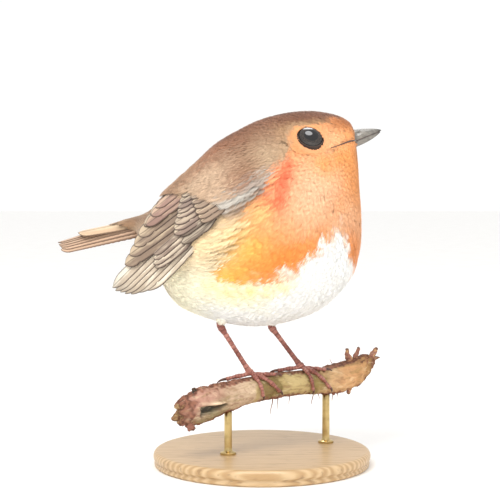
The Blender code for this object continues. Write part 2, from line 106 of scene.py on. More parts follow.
# its pieces: name, first and last station, barbs in a tuft, slot
COAT_PIECES = (("coat_face", -1.0, 2.2, 8, "orange_plumage"), ("coat_head", 2.2, 4.6, 10, "orange_plumage"),
               ("coat_body", 4.6, 9.4, 15, "pale_plumage"), ("coat_rump", 9.4, 99.0, 15, "pale_plumage"))
BARB_OVERLAP, BARB_THICKNESS = 1.7, 0.22  # a barb's width in steps between barbs, and its depth as a share of that
BARB_POINTS, BARB_TRIANGLES = 7, 10
EVEN_LIGHT = 0.62  # how far a barb's shading takes on that of the body under it
TUFT_ON_MAP = 0.0015  # half a tuft's size on the OFBake map
MOST_TRIANGLES = 185_000  # in one coat piece
VENT_PLACE = (-35.0, 62.5)  # x, z of the loose feathers in front of the tail
HIDDEN_ALONG, HIDDEN_ACROSS, HIDDEN_BESIDE = 28, (13, 29), 8  # nothing grows on the body here, under the wing
UNDER_REACH = 5.5  # but for this much of it, behind the last tips that lie on the wing
CHIN_FRONT, CHIN_HEIGHT, CHIN_HALF_WIDTH = 35.6, (121.0, 124), 2.4  # nor here, where the bill's own ring is
RING_SPACING, RING_BARBS = 0.34, 7  # of the short feathers round the eyes and the bill
BILL_RING_SIZES = ((4.1, 3.1), (3.7, 3.1), (3.9, 2.7))  # height above, height below and half width, at both ends

# ---- eyes and bill ----
EYE_RADIUS, EYE_DEPTH, EYE_LIFT = 4.75, 3.0, 0.8  # the lift is above the middle of its solid
LID_RADIUS, LID_STRETCH, LID_TILT = 4.48, 0.08, 25.0  # the lids' opening, longest this many degrees below level
# a lid's section: out from the opening, and up from the rim of the ball
LID_PROFILE = np.array(((-0.2, -2.6), (-0.2, -0.2), (-0.1, 0.15), (0.06, 0.32), (0.26, 0.3), (0.45, 0.08),
                        (0.8, -0.45), (1.5, -1.3), (2.2, -2.6)))
BILL_BASE, BILL_TIP = np.array((34.0, 0, 124.3)), np.array((45.9, 0, 129.0))  # the parting of the mandibles
BILL_LENGTH = np.linalg.norm(BILL_TIP - BILL_BASE)
BILL_AHEAD = (BILL_TIP - BILL_BASE) / BILL_LENGTH
BILL_UP = np.cross(BILL_AHEAD, TO_LEFT)
UPPER_HEIGHT, LOWER_HEIGHT, BILL_HALF_WIDTH, BILL_FLARE, GAPE = 4.9, 2.2, 2.4, 1.7, 0.1

# ---- the folded wing ----
WING_MIDDLE, WING_SLOPE = (0.0, 92.6), math.radians(41.0)
SLOPE_COS, SLOPE_SIN = math.cos(WING_SLOPE), math.sin(WING_SLOPE)
DRAPE_MIDDLE, DRAPE_HALF_LENGTH, DRAPE_HALF_DEPTH, DRAPE_HALF_WIDTH = 18.0, 47.5, 37.5, 29.4
SHEET_HUG = (18.0, 34.0, 0.42)  # the folded wing draws in to the back between these, by this share
QUILL, COVERT_QUILL = "#3B2E27", "#3E3029"
# Each row of feathers, laid from the lowest one up: count, roots and tips of its lowest and highest
# feather as (along, across), reach of the middle ones beyond a straight line of tips, width, heights
# above the drape at root and tip, and its colours: vane, edge and shaft
FEATHER_ROWS = (
    ("primary", 7, ((14.0, 13.6), (16.0, 22.0)), ((45.4, 10.4), (56.2, 19.6)), 4.2, 4.8, (0.3, 0.4),
     ("#BCAB96", "#ECE1CE", QUILL)),
    ("secondary", 6, ((10.0, 19.5), (4.0, 29.6)), ((47.4, 22.0), (28.6, 29.8)), 0.6, 5.4, (0.9, 1.4),
     ("#84705F", "#C3AE92", COVERT_QUILL)),
    ("tertial", 3, ((6.0, 26.5), (4.0, 29.4)), ((31.8, 27.4), (25.8, 30.2)), 0.3, 4.6, (1.3, 2.0),
     ("#97776A", "#C6A78E", "#4A3A30")),
    ("primary_covert", 4, ((20.0, 13.6), (19.0, 18.6)), ((38.9, 14.3), (36.4, 18.2)), 0.4, 3.6, (1.1, 1.4),
     ("#8A776A", "#D6C6AF", QUILL)),
    ("alula", 2, ((10.5, 13.4), (10.0, 15.8)), ((25.6, 14.6), (24.4, 17.0)), 0.2, 3.5, (1.6, 1.9),
     ("#75675A", "#B3A491", QUILL)),
    ("greater_covert", 8, ((8.0, 17.0), (3.0, 26.0)), ((25.2, 18.4), (15.0, 26.4)), 0.8, 3.7, (1.2, 2.2),
     ("#8A766A", "#C4B29A", COVERT_QUILL)),
    ("median_covert", 8, ((4.0, 14.6), (2.0, 26.0)), ((15.6, 15.6), (11.4, 26.4)), 0.7, 3.4, (1.5, 2.6),
     ("#957F6D", "#C0AA90", "#46372D")),
)
# the body's coat runs over the wing's front: how far along the wing its tips reach, by place across it
COAT_ACROSS, COAT_REACH = (11.0, 15.0, 23.0, 28.5, 31.5, 35.0), (7.5, 8.0, 11.5, 17.0, 21.0, 26.0)
COAT_OVER_WING = 3.4  # and its height there above the sheet that the feathers lie on

# ---- the tail: (x, z) of its ends, droop of its sides below the ridge, half width, at the root and the tip ----
TAIL_ROOT, TAIL_TIP = np.array((-45.0, 97.0)), np.array((-78.4, 85.6))
TAIL_LENGTH = np.linalg.norm(TAIL_TIP - TAIL_ROOT)
TAIL_DROOP, TAIL_HALF_WIDTH = (6.4, 3.0), (5.6, 8.4)
TAIL_FEATHERS, HIDDEN_ROOT, MIDDLE_PAIR_SHORTER = 12, -9.0, 9.0
TAIL_COLOURS, MIDDLE_PAIR_COLOURS = ("#C2A288", "#D4BAA0", "#6A5242"), ("#C6A888", "#DCC2A0", "#5E4636")

# ---- perch ----
PERCH_MIDDLE, PERCH_YAW = (5.0, 0.0, 30.9), math.radians(31.5)
PERCH_LEVEL = np.array([math.cos(PERCH_YAW), math.sin(PERCH_YAW), 0])
# distance along the branch, rise of its middle line, radius
PERCH = np.array((
    (-42.8, -7.4, 3.9), (-39.2, -6.7, 5.4), (-33.0, -5.1, 6.0), (-22.0, -2.7, 5.4), (-11.4, -1.2, 4.9),
    (0.0, -0.2, 4.7), (11.4, 0.0, 4.6), (24.0, 0.0, 5.0), (34.0, 1.1, 5.3), (42.0, 4.1, 4.2), (47.5, 6.6, 2.2),
))
PERCH_LINE = np.vstack([2 * PERCH[0] - PERCH[1], PERCH, 2 * PERCH[-1] - PERCH[-2]])
# distance along, turn from the top towards the bird's right, length, radius, lean
SPURS = ((36.0, -8.0, 4.7, 1.15, -0.25), (38.2, -4.0, 4.5, 0.95, 0.45), (45.0, 20.0, 3.4, 1.1, 0.7),
         (-35.8, 4.0, 1.9, 1.05, -0.2), (33.5, 168.0, 1.6, 1.1, 0.5), (-38.6, 160.0, 2.0, 1.7, 0.4),
         (29.0, 200.0, 1.8, 1.2, 0.3), (-24.0, 250.0, 1.6, 1.3, -0.3))
DARK_SPUR = -35.8
# distance along, turn, height and reach of swellings on it
LUMPS = ((-18.5, 176.0, 1.1, 2.2), (-30.0, 172.0, 0.7, 2.6), (29.6, 178.0, 0.8, 1.6), (38.4, 166.0, 1.3, 2.2),
         (-33.0, 12.0, 0.5, 2.6), (27.5, -4.0, 0.5, 2.2), (8.0, 182.0, 0.5, 2.4), (0.0, 250.0, 0.8, 3.0),
         (-26.0, 300.0, 0.9, 3.5), (30.0, 290.0, 0.8, 3.0))
# fine fibres: distance along, turn, length, curl and thickness
FIBRES = ((27.5, -2.0, 3.2, -1.5, 0.2), (-1.5, 170.0, 6.2, -0.9, 0.24), (1.0, 172.0, 5.0, -0.5, 0.2),
          (6.5, 172.0, 3.6, -0.7, 0.2), (17.5, 172.0, 4.4, -1.0, 0.24), (20.0, 176.0, 2.4, 0.8, 0.18),
          (27.0, 172.0, 3.8, -0.8, 0.24), (29.0, 176.0, 2.6, 0.6, 0.18), (42.0, 40.0, 2.6, 1.0, 0.2),
          (-30.0, 235.0, 3.0, 0.9, 0.2), (12.0, 230.0, 3.2, -0.9, 0.2))
# long swellings of the branch: how many round it, how often along it, height
PERCH_WAVES = ((3, 0.23, 0.2), (5, -0.31, 0.12), (2, 0.12, 0.22))
# the bare wood's colour by distance along the branch
WOOD = ((-43.0, "#9E7463"), (-34.0, "#A68672"), (-28.0, "#A08F72"), (-20.0, "#BEA38A"), (-13.0, "#C2A98E"),
        (-9.5, "#B8A276"), (-7.0, "#8C7850"), (-2.0, "#7E6C44"), (1.0, "#AA9566"), (4.0, "#C0AA7A"),
        (11.5, "#BCA676"), (14.5, "#8E7C50"), (18.5, "#94804F"), (21.0, "#B89A70"), (25.0, "#CBA47A"),
        (34.0, "#CC9C6E"), (42.0, "#AE8658"), (48.0, "#866444"))

# ---- legs and feet ----
ANKLES = {"right": (-16.2, -9.0, 55.2), "left": (3.4, 9.0, 52.9)}
FOOT_AT = {"right": -11.4, "left": 11.8}  # along the branch
THIGH_TOP, THIGH_RADIUS = (2.4, 0, 9.0), 5.2  # its top from the ankle
THIGH_TAPER = ((0, 0.35, 0.65, 0.88, 1.0, 1.3), (0.9, 0.84, 0.56, 0.32, 0.17, 0.05))
# the shank's radius by share of its length
SHANK = ((-0.06, 0.02, 0.08, 0.18, 0.5, 0.84, 1.0), (0.7, 1.35, 1.45, 1.0, 0.88, 0.95, 1.35))
CLAW_TAPER = ((0, 0.15, 0.5, 0.85, 1), (0.55, 0.62, 0.42, 0.2, 0.06))
FOOT_RADIUS, TOE_CLEARANCE = 1.6, 0.4
# heading from the branch's own direction, length, radius, claw's length; the first toe points back
TOES = ((200.0, 9.0, 0.95, 4.6), (20.0, 10.2, 0.85, 3.2), (48.0, 14.6, 0.92, 3.6), (78.0, 11.6, 0.85, 3.2))

# ---- camera: how wide it sees at the bird, where it looks, and its height over level ----
VIEW_WIDTH, VIEW_TARGET, VIEW_ELEVATION = 192.5, (-4.62, 0.0, 83.15), math.radians(3.0)
VIEW_LENS, VIEW_SENSOR = 100.0, 36.0


# ==== numbers and colour ====
def colour(code):
    """A linear RGB array from a web colour."""
    value = np.array([int(code[k:k + 2], 16) for k in (1, 3, 5)]) / 255
    return np.where(value <= 0.04045, value / 12.92, ((value + 0.055) / 1.055) ** 2.4)


def blend(base, over, share):
    """Base colours with others laid over them, by a share for each point."""
    return base + (over - base) * np.clip(share, 0, 1)[:, None]


def plain(tint, count):
    """One colour for each of some points."""
    return np.tile(tint, (count, 1))


def ramp(value, low, high):
    """0 below low, 1 above high and smooth between them."""
    t = np.clip((value - low) / (high - low), 0, 1)
    return t * t * (3 - 2 * t)


def band(value, low, full, last, high):
    """1 from full to last, 0 below low and above high."""
    return ramp(value, low, full) * (1 - ramp(value, last, high))


def bell(value, middle, reach):
    """1 at the middle, falling off softly on both sides."""
    return np.exp(-(((value - middle) / reach) ** 2))


def spot(x, z, at, reach):
    """1 at a place in the side view, falling off softly all round."""
    return np.exp(-((x - at[0]) ** 2 + (z - at[1]) ** 2) / reach**2)


def waves(points, scale, seed):
    """Smooth noise about 0, from a few crossed sines."""
    rng = np.random.default_rng(seed)
    total, count = np.zeros(len(points)), 7
    for _ in range(count):
        direction = rng.normal(size=3)
        direction *= rng.uniform(0.6, 1.6) / (scale * np.linalg.norm(direction))
        total += np.sin(points @ direction * CIRCLE + rng.uniform(0, 6.3))
    return total / count**0.5 * 1.2


def unit(v):
    """A vector, or each row of an array, brought to length 1."""
    return v / (np.linalg.norm(v, axis=1)[:, None] if v.ndim == 2 else np.linalg.norm(v))


def turns(around):
    return np.arange(around) * CIRCLE / around


def lattice(a, b):
    """Every pair of two lists of values, as two flat arrays."""
    return (g.ravel() for g in np.meshgrid(a, b, indexing="ij"))


def flat(*values):
    """A surface's arguments as flat arrays of one length."""
    return (v.ravel() for v in np.broadcast_arrays(*(np.asarray(v, float) for v in values)))


def spline(rows, at):
    """Catmull-Rom through rows of numbers, from 0 at the second to the last but one; the end rows only steer it."""
    first = np.minimum(at.astype(int), len(rows) - 4)
    t = (at - first)[:, None]
    p0, p1, p2, p3 = (rows[first + k] for k in range(4))
    return 0.5 * (2 * p1 + (p2 - p0) * t + (2 * p0 - 5 * p1 + 4 * p2 - p3) * t**2 + (3 * p1 - p0 - 3 * p2 + p3) * t**3)


# ==== markings ====
# where brown meets orange behind the face and bib: z, x
BIB_REAR = np.array(((66.0, -6.0), (70.0, -9.5), (73.5, -11.5), (81.0, -10.0), (92.8, -6.2), (102.4, -1.9),
                     (108.2, 0.4), (113.2, 3.6), (118.0, 7.8), (122.0, 10.6), (127.4, 11.4), (129.6, 14.0),
                     (130.6, 21.0), (131.6, 27.0), (133.2, 30.8), (135.4, 33.8))).T
# where orange meets the belly: x, z
BIB_LOWER = np.array(((-12.0, 75.0), (-8.5, 73.4), (0.0, 74.0), (8.9, 76.4), (16.6, 81.4), (24.0, 88.0),
                      (28.2, 92.4), (30.6, 94.4), (33.2, 89.5), (35.2, 83.0), (38.0, 77.0))).T
# the line of the crown, back and rump: x, z
RIDGE = BODY[::-1, :2].T
CROWN, NAPE, MANTLE, BACK, RUMP = (colour(c) for c in ("#7C5039", "#7E4A30", "#956448", "#A68264", "#AA8A6C"))
SOFT_TAN, BROW, CHEEK_GREY, FOREHEAD = (colour(c) for c in ("#C6AA8E", "#AE8862", "#C4A98A", "#A9622C"))
BLUE_GREY, EYE_RING, PEACH, YELLOW_WASH = (colour(c) for c in ("#B9B6AE", "#D6935E", "#F8CC82", "#FFEFA8"))
FACE, LORES, THROAT, BREAST, RED, LOW_BIB, YELLOW = (
    colour(c) for c in ("#F3A46E", "#F0B485", "#EA9648", "#EFC09A", "#EE6C4A", "#EF8D40", "#F6BA50"))
FLANK, CREAM, BELLY, VENT = (colour(c) for c in ("#EACCA0", "#FFF5D6", "#FFFFFA", "#FBEDD2"))
SHADE_BROWN, LID_SKIN, LID_EDGE = (colour(c) for c in ("#5B4A3E", "#4A3E38", "#1E1815"))
# The first of these is a dark brown for painted shade, under the bill and behind the gape; the other two are the lids'
# bare skin.
# Soft spots of the bib and the face, in the order they are laid: colour, each spot's x, z and reach, strength
BREAST_SPOTS = ((BREAST, ((20, 108, 12), (25, 97, 11.5)), 0.9),)
BIB_SPOTS = ((LOW_BIB, ((11, 86, 8),), 0.85), (YELLOW, ((-6.5, 76, 8.5), (-0.5, 89, 6.5)), 0.8))
FACE_SPOTS = ((LORES, ((27.8, 125.6, 4.6),), 0.9), (THROAT, ((25.4, 118, 3.6), (30.5, 120, 3.6)), 0.6),
              (RED, ((11.0, 117.5, 4.8),), 0.4), (BREAST, ((30, 98, 6.5),), 0.7))
EYE_RING_PLACE = (18.2, 126.6)
GAPE_SHADE = np.array(((34.0, 125.6), (25.6, 122.3)))  # painted shade behind the gape: x, z of its ends
# the middle of the painted shade under the bill: x, z
BILL_SHADE = (37.2, 122.0)


def dab(tint, x, z, spots):
    """Lays soft round spots over a tint."""
    for over, places, strength in spots:
        tint = blend(tint, over, np.max([spot(x, z, (u, v), reach) for u, v, reach in places], axis=0) * strength)
    return tint


def upper_brown(points):
    """The brown of the crown, nape and back, before the bib and flanks."""
    x, z = points[:, 0], points[:, 2]
    from_ridge = np.interp(x, *RIDGE) - z
    brown = plain(CROWN, len(x))
    for over, start, end in ((NAPE, -16, 0), (MANTLE, 2, 14), (BACK, 12, 26), (RUMP, 34, 44)):
        brown = blend(brown, over, ramp(-x, start, end))
    brown = blend(brown, SOFT_TAN, ramp(from_ridge, 4, 13) * ramp(-x, 0, 12) * 0.85)
    brown = blend(brown, CROWN * 0.9, 0.3 * ramp(waves(points, 14.0, 3), -0.2, 1.2) * (1 - ramp(from_ridge, 3, 10)))
    brown = blend(brown, BROW, ramp(x, 4, 13) * (1 - ramp(z, 130.8, 134.0)) * 0.9)
    return blend(brown, CHEEK_GREY, spot(x, z, (4.5, 121), 9) * 0.85)


def pale_underside(x, z):
    """Flank, belly and vent, below the bib and the brown."""
    pale = blend(plain(FLANK, len(x)), CREAM, ramp(78 - z, -12, 8))
    pale = blend(pale, BELLY, np.maximum(ramp(x, -4, 15), ramp(66 - z, -6, 8) * ramp(x, -26, -6)))
    return blend(pale, VENT, ramp(-x, 24, 38))


def orange_bib(points, lower):
    """The orange of the face and breast."""
    x, z = points[:, 0], points[:, 2]
    orange = dab(plain(FACE, len(x)), x, z, BREAST_SPOTS)
    orange = blend(orange, THROAT, ramp(x, 29, 37) * (1 - 0.5 * ramp(112 - z, 0, 16)) * 0.8)
    orange = blend(orange, LOW_BIB, bell(z - lower, 6, 6) * 0.85)
    orange = dab(orange, x, z, BIB_SPOTS)
    # two red streaks that lean forwards, behind the cheek and down the neck
    patchy = ramp(waves(points, 8.0, 5), -1.6, 0.4)
    orange = blend(orange, RED, spot(x - 0.5 * (z - 108), z, (6.5, 108.0), 7.0) * 0.8 * patchy)
    orange = blend(orange, RED, 0.8 * bell(x - 0.26 * (z - 104), 8.2, 2.2) * band(z, 101, 106, 117, 123))
    orange = blend(orange, FOREHEAD, ramp(x, 23, 32) * ramp(z, 127.0, 131.0) * 0.95)
    orange = dab(orange, x, z, FACE_SPOTS)
    from_eye = np.hypot(x - EYE_RING_PLACE[0], z - EYE_RING_PLACE[1])
    return blend(orange, EYE_RING, bell(from_eye, 6.0, 1.5) * ramp(-x, -24, -18) * 0.8)


def plumage(points):
    """The coat's colour at points of the body, as linear RGB, with painted shade under the bill and behind the gape."""
    x, y, z = points[:, 0], np.abs(points[:, 1]), points[:, 2]
    rough = waves(points, 9.0, 1) * 0.9 + waves(points, 3.0, 2) * 0.7
    rear, lower = np.interp(z, *BIB_REAR), np.interp(x, *BIB_LOWER)
    orange = orange_bib(points, lower)
    ground = blend(upper_brown(points), pale_underside(x, z), ramp(102 - z + 0.55 * (x + 2), -3, 3))
    along, across = wing_place(points)
    strip = bell(across - 0.05 * along, 13.6, 2.1) * band(along, -25, -18, 6, 12) * ramp(y, 8, 14)
    ground = blend(ground, BLUE_GREY, strip * (0.75 + 0.2 * waves(points, 5.0, 6)))
    # Brown and orange run into each other through peach.
    edge = np.maximum(bell(x - rear, 1.5, 4.5) * band(z, 74, 84, 95, 103), spot(x, z, (2.0, 101.5), 4.5))
    ground, orange = blend(ground, PEACH, 0.5 * edge), blend(orange, PEACH, 0.6 * edge)
    above = ramp(z - lower + rough * 1.7, -3.2, 3.2)
    in_bib = ramp(x - rear + rough * 1.2, -2.0, 2.0) * above
    made = blend(ground, orange, in_bib)
    made = blend(made, BELLY, ramp(x - rear + rough, -2, 4) * (1 - above) * ramp(x, 4, 20))
    wash = bell(z - lower, -4, 4.5) * band(x, -20, -10, 12, 22) * (0.55 + 0.3 * waves(points, 7.0, 7))
    made = blend(made, YELLOW_WASH, np.clip(wash, 0, 1) * (1 - in_bib))
    # painted shade under the bill
    made = blend(made, SHADE_BROWN, 0.3 * spot(x, z, BILL_SHADE, 1.8))
    # Painted shade along the line behind the gape, on both sides of the head.
    start, run = GAPE_SHADE[0], GAPE_SHADE[1] - GAPE_SHADE[0]
    off = np.stack([x, z], 1) - start
    share = np.clip((off @ run) / (run @ run), 0, 1)
    away = np.linalg.norm(off - share[:, None] * run, axis=1)
    return blend(made, SHADE_BROWN, (1 - ramp(away, 0.1, 0.9)) * 0.35 * (y > 1.5))


# ==== surfaces ====
def body_surface(at, turn, height=0.0):
    """Points of the body's outline, swollen by height. turn is 0 on the back and grows towards +Y."""
    at, turn, height = flat(at, turn, height)
    row = spline(BODY_LINE, np.clip(at, 0, len(BODY_LINE) - 3.001))
    zero = np.zeros(len(row))
    dorsal, ventral = (np.stack([row[:, k], zero, row[:, k + 1]], 1) for k in (0, 2))
    half, middle = (dorsal - ventral) / 2, (dorsal + ventral) / 2
    size = np.linalg.norm(half, axis=1)
    points = middle + ((size + height) * np.cos(turn) / size)[:, None] * half
    points[:, 1] += (np.maximum(row[:, 4], 1) + height) * np.sin(turn) * (1 - row[:, 5] * np.cos(turn))
    outward = points - middle
    outward /= np.maximum(np.linalg.norm(outward, axis=1), 1e-6)[:, None]
    for place, reach, rise in FACE_FORMS:
        swell = rise * spot(points[:, 0], points[:, 2], place, reach) * np.sin(turn) ** 2
        points += swell[:, None] * outward
    return points


def coat_value(column, at):
    return np.interp(at, COAT[:, 0], COAT[:, column])


def tangents(surface, a, c):
    """The two ways that a surface runs, as millimetres per unit of its coordinates."""
    here = surface(a, c, 0.0)
    return (surface(a + STEP, c, 0.0) - here) / STEP, (surface(a, c + STEP, 0.0) - here) / STEP


def speeds(surface, a, c):
    """Millimetres per unit of each of a surface's coordinates."""
    return (np.linalg.norm(way, axis=1) for way in tangents(surface, a, c))


def surface_normals(surface, a, c):
    """The way a surface faces at points of it, and whether its directions turn the other way round."""
    facing = np.cross(*tangents(surface, a, c))
    outward = np.sign(np.sign((facing * (surface(a, c, 0.5) - surface(a, c, 0.0))).sum(1)).mean())
    return facing * outward / np.maximum(np.linalg.norm(facing, axis=1), 1e-6)[:, None], outward < 0


def body_tree(rings, around):
    """A BVH tree of the body's outer surface."""
    points = body_surface(*lattice(np.linspace(0, BODY_END, rings), turns(around)))
    return BVHTree.FromPolygons(points.tolist(), grid_faces(rings, around, wrap=True).tolist())


def wing_place(points):
    """Where points lie along and across the folded wing, seen from the side."""
    dx, dz = points[:, 0] - WING_MIDDLE[0], points[:, 2] - WING_MIDDLE[1]
    return -dx * SLOPE_COS - dz * SLOPE_SIN, -dx * SLOPE_SIN + dz * SLOPE_COS


class WingSurface:
    """The sheet that the folded wing's feathers lie on, over a grid of (along, across)."""

    LOW, HIGH, PITCH = np.array((-20.0, 0.0)), np.array((64.0, 40.0)), 0.5

    def __init__(self, tree):
        a, c = np.meshgrid(*(np.arange(lo, hi + 0.1, self.PITCH) for lo, hi in zip(self.LOW, self.HIGH)), indexing="ij")
        x, z = self.to_side_plane(a, c)
        body = np.zeros(a.shape)
        for k in np.ndindex(a.shape):
            hit, normal, _, _ = tree.ray_cast((x[k], 100, z[k]), (0, -1, 0), 100)
            body[k] = 0 if hit is None else hit.y + 0.45 / max(0.3, abs(normal.y))
        share = ((a - DRAPE_MIDDLE) / DRAPE_HALF_LENGTH) ** 2 + (c / DRAPE_HALF_DEPTH) ** 2
        drape = DRAPE_HALF_WIDTH * np.sqrt(np.maximum(0.04, 1 - share))
        sheet = np.maximum(body, drape * (1 - SHEET_HUG[2] * ramp(c, *SHEET_HUG[:2])))
        for _ in range(10):
            edge = np.pad(sheet, 1, mode="edge")
            sheet = (edge[:-2, 1:-1] + edge[2:, 1:-1] + edge[1:-1, :-2] + edge[1:-1, 2:] + 2 * sheet) / 6
        self.y = sheet
        self.slope = np.gradient(sheet, self.PITCH)

    @staticmethod
    def to_side_plane(along, across):
        return (WING_MIDDLE[0] - along * SLOPE_COS - across * SLOPE_SIN,
                WING_MIDDLE[1] - along * SLOPE_SIN + across * SLOPE_COS)

    def read(self, grid, along, across):
        u = np.clip((along - self.LOW[0]) / self.PITCH, 0, grid.shape[0] - 1.001)
        v = np.clip((across - self.LOW[1]) / self.PITCH, 0, grid.shape[1] - 1.001)
        i, j = u.astype(int), v.astype(int)
        u, v = u - i, v - j
        return (grid[i, j] * (1 - u) * (1 - v) + grid[i + 1, j] * u * (1 - v)
                + grid[i, j + 1] * (1 - u) * v + grid[i + 1, j + 1] * u * v)

    def points(self, along, across, height):
        along, across, height = flat(along, across, height)
        x, z = self.to_side_plane(along, across)
        y, da, dc = (self.read(grid, along, across) for grid in (self.y, *self.slope))
        # The surface leans by da and dc; its outward normal is +Y less those leans along each direction.
        normal = unit(np.stack([da * SLOPE_COS + dc * SLOPE_SIN, np.ones(len(x)), da * SLOPE_SIN - dc * SLOPE_COS], 1))
        height = height * (1 - 0.75 * ramp(across, 29, 34.5))
        return np.stack([x, y, z], 1) + height[:, None] * normal


def tail_surface(along, across, height):
    """The roof-shaped tail: along from its root, across from its ridge towards +Y."""
    along, across, height = flat(along, across, height)
    run = (TAIL_TIP - TAIL_ROOT) / TAIL_LENGTH
    share = np.clip(along / TAIL_LENGTH, -0.2, 1.2)
    droop, half = (root + (tip - root) * share for root, tip in (TAIL_DROOP, TAIL_HALF_WIDTH))
    ridge = TAIL_ROOT + run * along[:, None]
    level = np.ones(len(along))
    normal = unit(np.stack([level * run[1], 2 * droop * across / half**2, level * -run[0]], 1))
    return np.stack([ridge[:, 0], across, ridge[:, 1] - droop * (across / half) ** 2], 1) + height[:, None] * normal


# ==== mesh making ====
def add_attribute(mesh, name, values):
    values = np.asarray(values, np.float32)
    if values.ndim == 2:
        values = np.column_stack([values, np.ones(len(values), np.float32)])
        mesh.attributes.new(name, "FLOAT_COLOR", "POINT").data.foreach_set("color", values.ravel())
    else:
        mesh.attributes.new(name, "FLOAT", "POINT").data.foreach_set("value", values)


def add_mesh(name, points, faces, material, attributes=None, uvs=None):
    """Makes an object from millimetre points and one array of faces per corner count."""
    mesh = bpy.data.meshes.new(name)
    points = np.asarray(points, np.float32) * MM
    corners = np.concatenate([np.asarray(f, np.int32).ravel() for f in faces])
    sizes = np.concatenate([np.full(len(f), np.shape(f)[1], np.int32) for f in faces])
    mesh.vertices.add(len(points))
    mesh.vertices.foreach_set("co", points.ravel())
    mesh.loops.add(len(corners))
    mesh.loops.foreach_set("vertex_index", corners)
    mesh.polygons.add(len(sizes))
    mesh.polygons.foreach_set("loop_start", np.concatenate([[0], np.cumsum(sizes)[:-1]]).astype(np.int32))
    mesh.polygons.foreach_set("loop_total", sizes)
    mesh.polygons.foreach_set("use_smooth", np.ones(len(sizes), bool))
    for key, values in (attributes or {}).items():
        add_attribute(mesh, key, values)
    if uvs is not None:
        layer = mesh.uv_layers.new(name="OFBake")
        layer.data.foreach_set("uv", np.asarray(uvs, np.float32)[corners].ravel())
    mesh.update(calc_edges=True)
    mesh.validate()
    mesh.materials.append(material)
    made = bpy.data.objects.new(name, mesh)
    bpy.context.scene.collection.objects.link(made)
    return made


def add_piece(*values):
    made = add_mesh(*values)
    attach(made, "root")
    return made


def fix_normals(made):
    builder = bmesh.new()
    builder.from_mesh(made.data)
    bmesh.ops.recalc_face_normals(builder, faces=builder.faces)
    builder.to_mesh(made.data)
    builder.free()
    return made


def grid_faces(rows, columns, wrap=False):
    r, c = lattice(np.arange(rows - 1), np.arange(columns if wrap else columns - 1))
    d = (c + 1) % columns
    return np.stack([r * columns + c, r * columns + d, (r + 1) * columns + d, (r + 1) * columns + c], 1)


def capped_grid(rings, around):
    """The faces of a grid of rings that is closed by a flat face at each end."""
    ring = np.arange(around)[None]
    return [grid_faces(rings, around, wrap=True), ring[:, ::-1], (rings - 1) * around + ring]


def tube_mesh(path, radii, around, flatten=1.0):
    """Rings of points along a path, with a point at each end, and its faces."""
    path, radii = np.asarray(path, float), np.asarray(radii, float)
    ahead = unit(np.gradient(path, axis=0))
    across = np.cross(ahead[0], (0.31, 0.95, 0.11))  # any way that no path here takes
    turn, rings = turns(around), []
    for point, direction, radius in zip(path, ahead, radii):
        across = unit(across - direction * (across @ direction))
        other = np.cross(direction, across)
        rings.append(point + radius * (np.cos(turn)[:, None] * across + flatten * np.sin(turn)[:, None] * other))
    points = np.vstack([*rings, path[0] - ahead[0] * radii[0] * 0.3, path[-1] + ahead[-1] * radii[-1] * 0.6])
    k, start = np.arange(around), len(path) * around
    j, last = (k + 1) % around, start - around
    fans = [np.stack([np.full(around, start), j, k], 1), np.stack([last + k, last + j, np.full(around, start + 1)], 1)]
    return points, [grid_faces(len(path), around, wrap=True)[:, ::-1], np.vstack(fans)]


def add_joined(name, parts, material):
    """One piece from the points, faces and attributes of several parts; the attribute named uv is its map."""
    points, by_corners, extra, first = [], {4: [], 3: []}, {}, 0
    for part in parts:
        points.append(part[0])
        for f in part[1]:
            by_corners[f.shape[1]].append(f + first)
        for key, values in (part[2] if len(part) > 2 else {}).items():
            extra.setdefault(key, []).append(values)
        first += len(part[0])
    faces = [np.vstack(group) for group in by_corners.values() if group]
    extra = {key: np.concatenate(values) for key, values in extra.items()}
    uvs = extra.pop("uv", None)
    return fix_normals(add_piece(name, np.vstack(points), faces, material, extra, uvs))


# ==== tufts ====
NEAR_CELLS = list(itertools.product((-1, 0, 1), repeat=3))


def scatter(surface, low, high, spacing_of, rng, keep=None, oversample=9):
    """Points on a surface, never closer to each other than the spacing asks."""
    size = 260
    pitch = [(high[k] - low[k]) / size for k in (0, 1)]
    a, c = lattice(*(low[k] + (np.arange(size) + 0.5) * (high[k] - low[k]) / size for k in (0, 1)))
    speed_a, speed_c = speeds(surface, a, c)
    weight = speed_a * speed_c * pitch[0] * pitch[1] / spacing_of(a) ** 2
    count = int(weight.sum() * oversample / 4)
    cell = rng.choice(len(a), count, p=weight / weight.sum())
    a, c = (values[cell] + rng.uniform(-0.5, 0.5, count) * gap for values, gap in ((a, pitch[0]), (c, pitch[1])))
    points, gap = surface(a, c, 0.0), spacing_of(a)
    allowed = np.ones(count, bool) if keep is None else keep(points)
    cells, spots = np.floor(points / gap.max()).astype(int).tolist(), points.tolist()
    taken, kept = {}, []
    for k in np.nonzero(allowed)[0]:
        x, y, z = cells[k]
        near = (m for dx, dy, dz in NEAR_CELLS for m in taken.get((x + dx, y + dy, z + dz), ()))
        if all(math.dist(spots[m], spots[k]) >= gap[k] for m in near):
            taken.setdefault((x, y, z), []).append(k)
            kept.append(k)
    return a[kept], c[kept]


